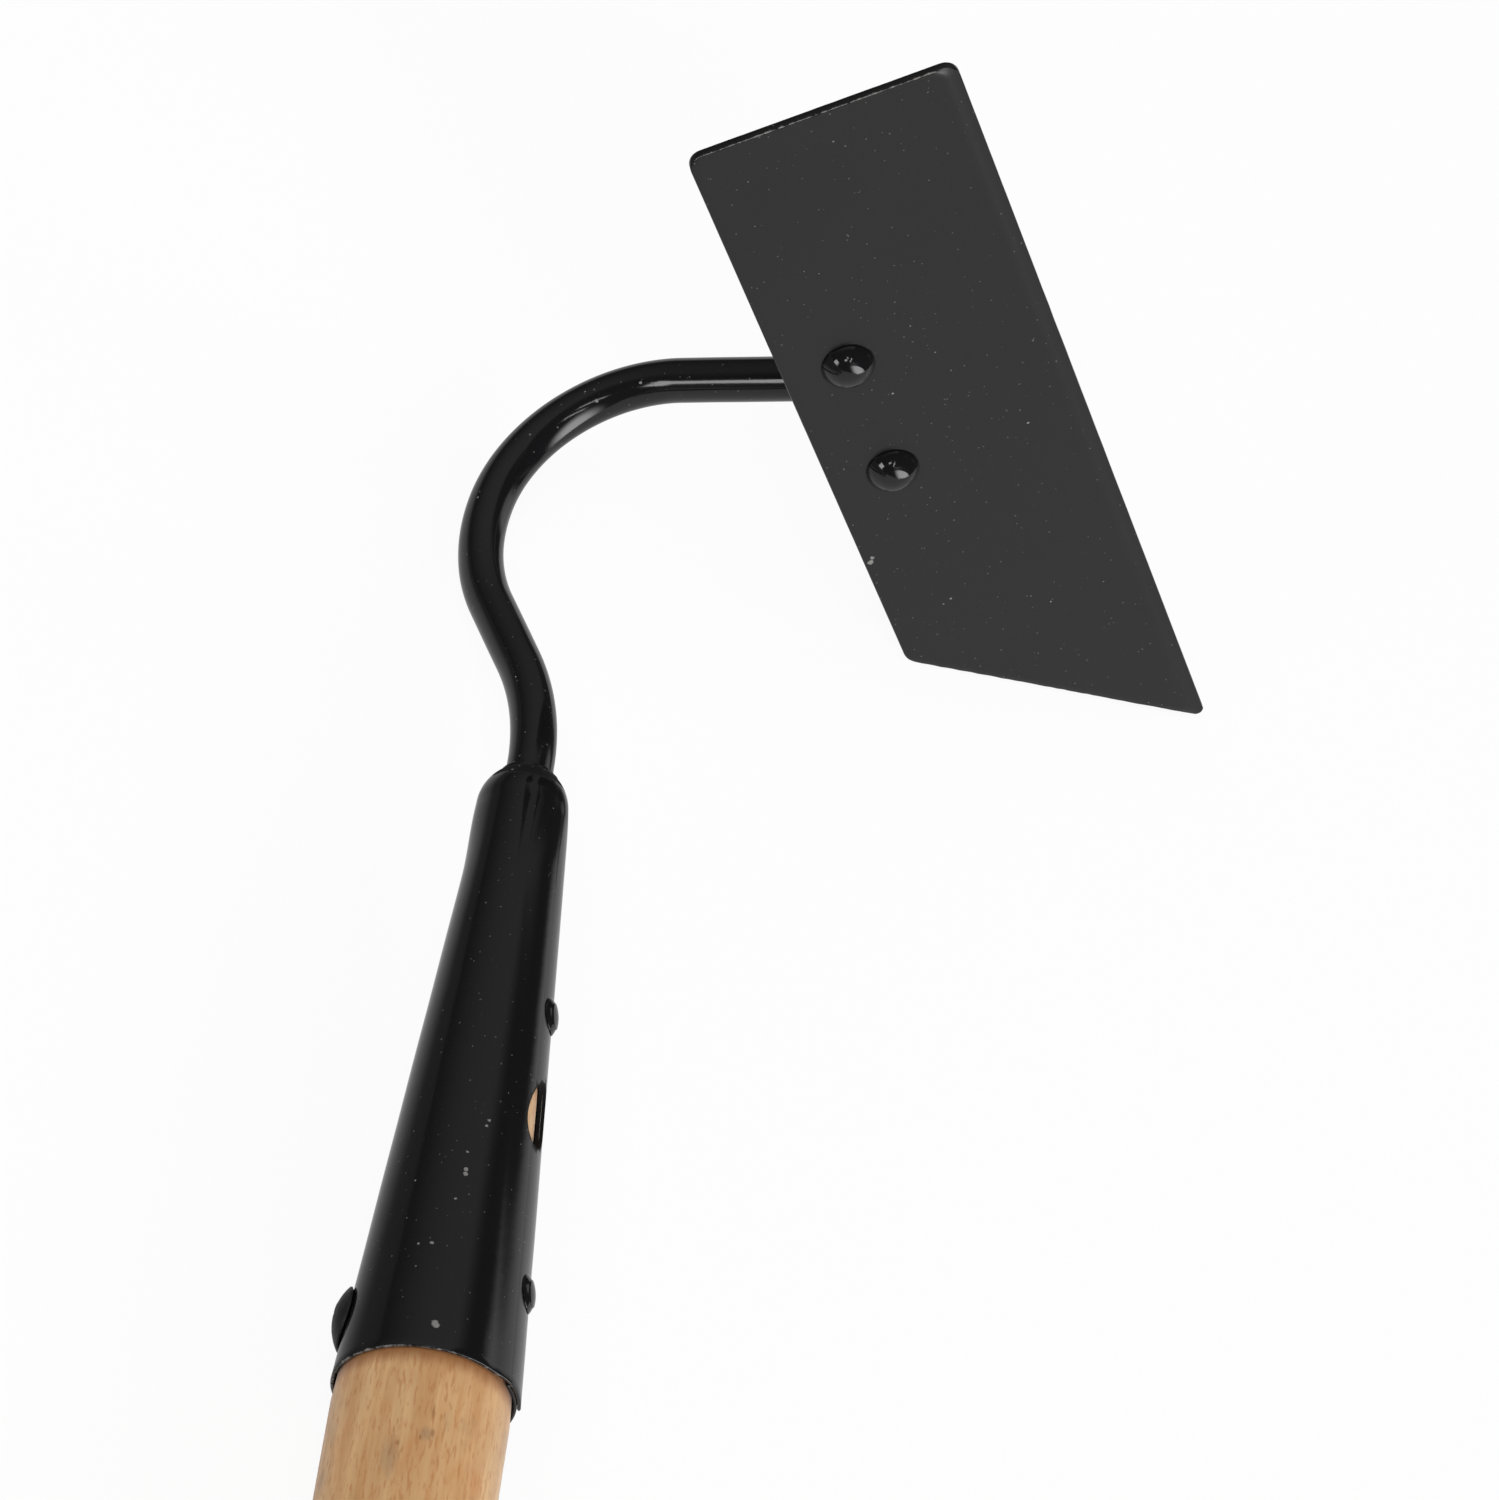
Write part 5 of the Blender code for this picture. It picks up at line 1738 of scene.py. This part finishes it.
# The window's middle and its lean, as angles, the sines of its half sizes, the share of them over
# which it fades, and how far ahead it starts and is full
WINDOW_MIDDLE = (math.radians(-135.0), math.radians(12.0))
WINDOW_LEAN = math.radians(-42.0)
WINDOW_HALF = (math.sin(math.radians(32.0)), math.sin(math.radians(16.0)))
WINDOW_FADE = (1.45, 0.45)
WINDOW_AHEAD = (0.0, 0.3)
# The floor's plain white gives way between these distances. In gloss it is a lit paper that ends
# between two lines across it, at a slant, and lies in shade beyond
FLOOR_FADE = (1.2, 2.6)
PAPER_END = (-0.008, 0.042)
PAPER_SKEW = 0.12
PAPER_SHADE = 0.12


def add_camera(lens):
    """Add the camera at its place in the hoe's axes."""
    data = bpy.data.cameras.new("camera")
    data.lens = lens
    data.sensor_width = SENSOR_WIDTH
    data.clip_start = NEAR_CLIP
    forward = CAMERA_FORWARD.normalized()
    right = (CAMERA_RIGHT - forward * CAMERA_RIGHT.dot(forward)).normalized()
    camera = show("camera", data)
    camera.matrix_world = HOE @ axes(right, right.cross(forward), -forward, CAMERA_PLACE)
    bpy.context.scene.camera = camera


def add_lamp(name, azimuth, elevation, distance, width, height, power, mirrored):
    """Add one softbox that faces the hoe's head."""
    data = bpy.data.lights.new(name, "AREA")
    data.shape = "RECTANGLE"
    data.size = width
    data.size_y = height
    data.energy = power
    towards = heading(math.radians(azimuth), math.radians(elevation))
    lamp = show(name, data)
    lamp.matrix_world = Matrix.LocRotScale(LAMP_AIM + towards * distance,
                                           towards.to_track_quat("Z", "Y"), None)
    lamp.visible_camera = False
    lamp.visible_glossy = mirrored


def light_paths(graph):
    """Return 1 for camera rays, for glossy rays and for transmitted rays."""
    node = graph.add("ShaderNodeLightPath").socket.node
    return [Value(graph, node.outputs["Is %s Ray" % kind])
            for kind in ("Camera", "Glossy", "Transmission")]


def floor_material(sizes):
    """Return a pale floor that reads as plain white and keeps the hoe's shadow.

    In gloss it is a lit sheet of paper, which falls into shade beyond the handle.
    """
    material, graph, shader = new_material("Floor")
    graph.tree.nodes.remove(shader)
    camera, glossy, transmitted = light_paths(graph)
    seen = graph.math("MAXIMUM", graph.math("MAXIMUM", camera, glossy), transmitted)
    place = graph.add("ShaderNodeTexCoord", None, None, 3)
    x, y, _z = graph.split(place)
    far = graph.ease(graph.vector("LENGTH", place, output=1), *FLOOR_FADE)
    lit = graph.ease(y - x * PAPER_SKEW, *PAPER_END, 1.0, PAPER_SHADE) * sizes.mirrored
    matt = graph.add("ShaderNodeBsdfDiffuse", None, {"Color": tuple(sizes.floor_colour)})
    white = graph.add("ShaderNodeEmission", None,
                      {"Color": (1.0, 1.0, 1.0), "Strength": 1.0 - glossy * (1.0 - lit)})
    blend = seen * (far * (1.0 - sizes.floor_glow) + sizes.floor_glow)
    both = graph.add("ShaderNodeMixShader", None, {0: blend, 1: matt, 2: white})
    output = next(node for node in graph.tree.nodes if node.type == "OUTPUT_MATERIAL")
    graph.feed(output.inputs["Surface"], both)
    return material


def window_light(graph, towards):
    """Return the brightness of the large soft window."""
    azimuth, elevation = WINDOW_MIDDLE
    middle = heading(azimuth, elevation)
    level = Vector((-math.sin(azimuth), math.cos(azimuth), 0.0))
    long_axis = level * math.cos(WINDOW_LEAN) + middle.cross(level) * math.sin(WINDOW_LEAN)
    along, across = [graph.vector("DOT_PRODUCT", towards, axis, output=1) / half
                     for axis, half in zip((long_axis, middle.cross(long_axis)), WINDOW_HALF)]
    ahead = graph.ease(graph.vector("DOT_PRODUCT", towards, middle, output=1), *WINDOW_AHEAD)
    spread = graph.math("SQRT", along * along + across * across)
    return graph.ease(spread, *WINDOW_FADE) * ahead * WINDOW


def set_world():
    """Light the studio: white for the camera, else a ceiling, a pale wall and a soft window."""
    world = bpy.data.worlds.new("studio")
    bpy.context.scene.world = world
    world.use_nodes = True
    graph = Graph(world.node_tree)
    towards = graph.add("ShaderNodeTexCoord")
    x, y, z = graph.split(towards)
    turn = graph.math("ARCTAN2", y, x)

    def between(first, second, third, fourth):
        """Rise from the first to the second azimuth and fall from the third to the fourth."""
        return graph.ease(turn, first, second) * graph.ease(turn, fourth, third)

    ceiling = between(*CEILING_SIDES) * graph.ease(z, *CEILING_RISE) * CEILING
    wall = between(*WALL_SIDES) * graph.ease(z, *WALL_TOP) * SIDE_WALL
    dim = ceiling + wall + window_light(graph, towards) + SHADE
    camera, _glossy, transmitted = light_paths(graph)
    seen = graph.math("MAXIMUM", camera, transmitted)
    background = world.node_tree.nodes["Background"]
    graph.feed(background.inputs["Color"], (1.0, 1.0, 1.0))
    graph.feed(background.inputs["Strength"], seen * (1.0 - dim) + dim)


class HOE_OT_stage(bpy.types.Operator):
    """Make the floor, the lamps, the surround and the camera"""
    bl_idname = "draw_hoe.stage"
    bl_label = "Stage"

    def execute(self, context):
        sizes = settings().stage
        half = sizes.floor_size / 2.0
        bm = bmesh.new()
        bm.faces.new(ring(bm, [(x, y, 0.0) for x, y in
                               ((-half, -half), (half, -half), (half, half), (-half, half))]))
        floor = show("floor", to_mesh(bm, "floor"))
        floor.data.materials.append(floor_material(sizes))
        for lamp in LAMPS:
            add_lamp(*lamp)
        set_world()
        add_camera(sizes.focal_length)
        context.scene.view_settings.view_transform = "Standard"
        return {"FINISHED"}


class HOE_PT_panel(bpy.types.Panel):
    """Lists the hoe's pieces in the sidebar"""
    bl_idname = "HOE_PT_panel"
    bl_label = "Draw hoe"
    bl_space_type = "VIEW_3D"
    bl_region_type = "UI"
    bl_category = "Hoe"

    def draw(self, context):
        column = self.layout.column(align=True)
        for operator in OPERATORS:
            column.operator(operator.bl_idname)


SETTINGS = (HandleSizes, SocketSizes, NeckSizes, BladeSizes, FastenerSizes, Finishes,
            StageSettings, Hoe)
OPERATORS = (HOE_OT_stage, HOE_OT_handle, HOE_OT_socket, HOE_OT_screw, HOE_OT_rivets, HOE_OT_neck,
             HOE_OT_welds, HOE_OT_foot, HOE_OT_blade)
CLASSES = SETTINGS + OPERATORS + (HOE_PT_panel,)


def register():
    """Register the settings, the operators and the panel."""
    for entry in CLASSES:
        bpy.utils.register_class(entry)
    bpy.types.Scene.draw_hoe = bpy.props.PointerProperty(type=Hoe)


def unregister():
    """Remove what register added."""
    del bpy.types.Scene.draw_hoe
    for entry in reversed(CLASSES):
        bpy.utils.unregister_class(entry)


def main():
    """Build the hoe on its stage."""
    register()
    bpy.ops.draw_hoe.stage()
    bpy.ops.draw_hoe.handle()
    bpy.ops.draw_hoe.socket()
    bpy.ops.draw_hoe.screw()
    bpy.ops.draw_hoe.rivets()
    bpy.ops.draw_hoe.neck()
    bpy.ops.draw_hoe.welds()
    bpy.ops.draw_hoe.foot()
    bpy.ops.draw_hoe.blade()


if __name__ == "__main__":
    main()
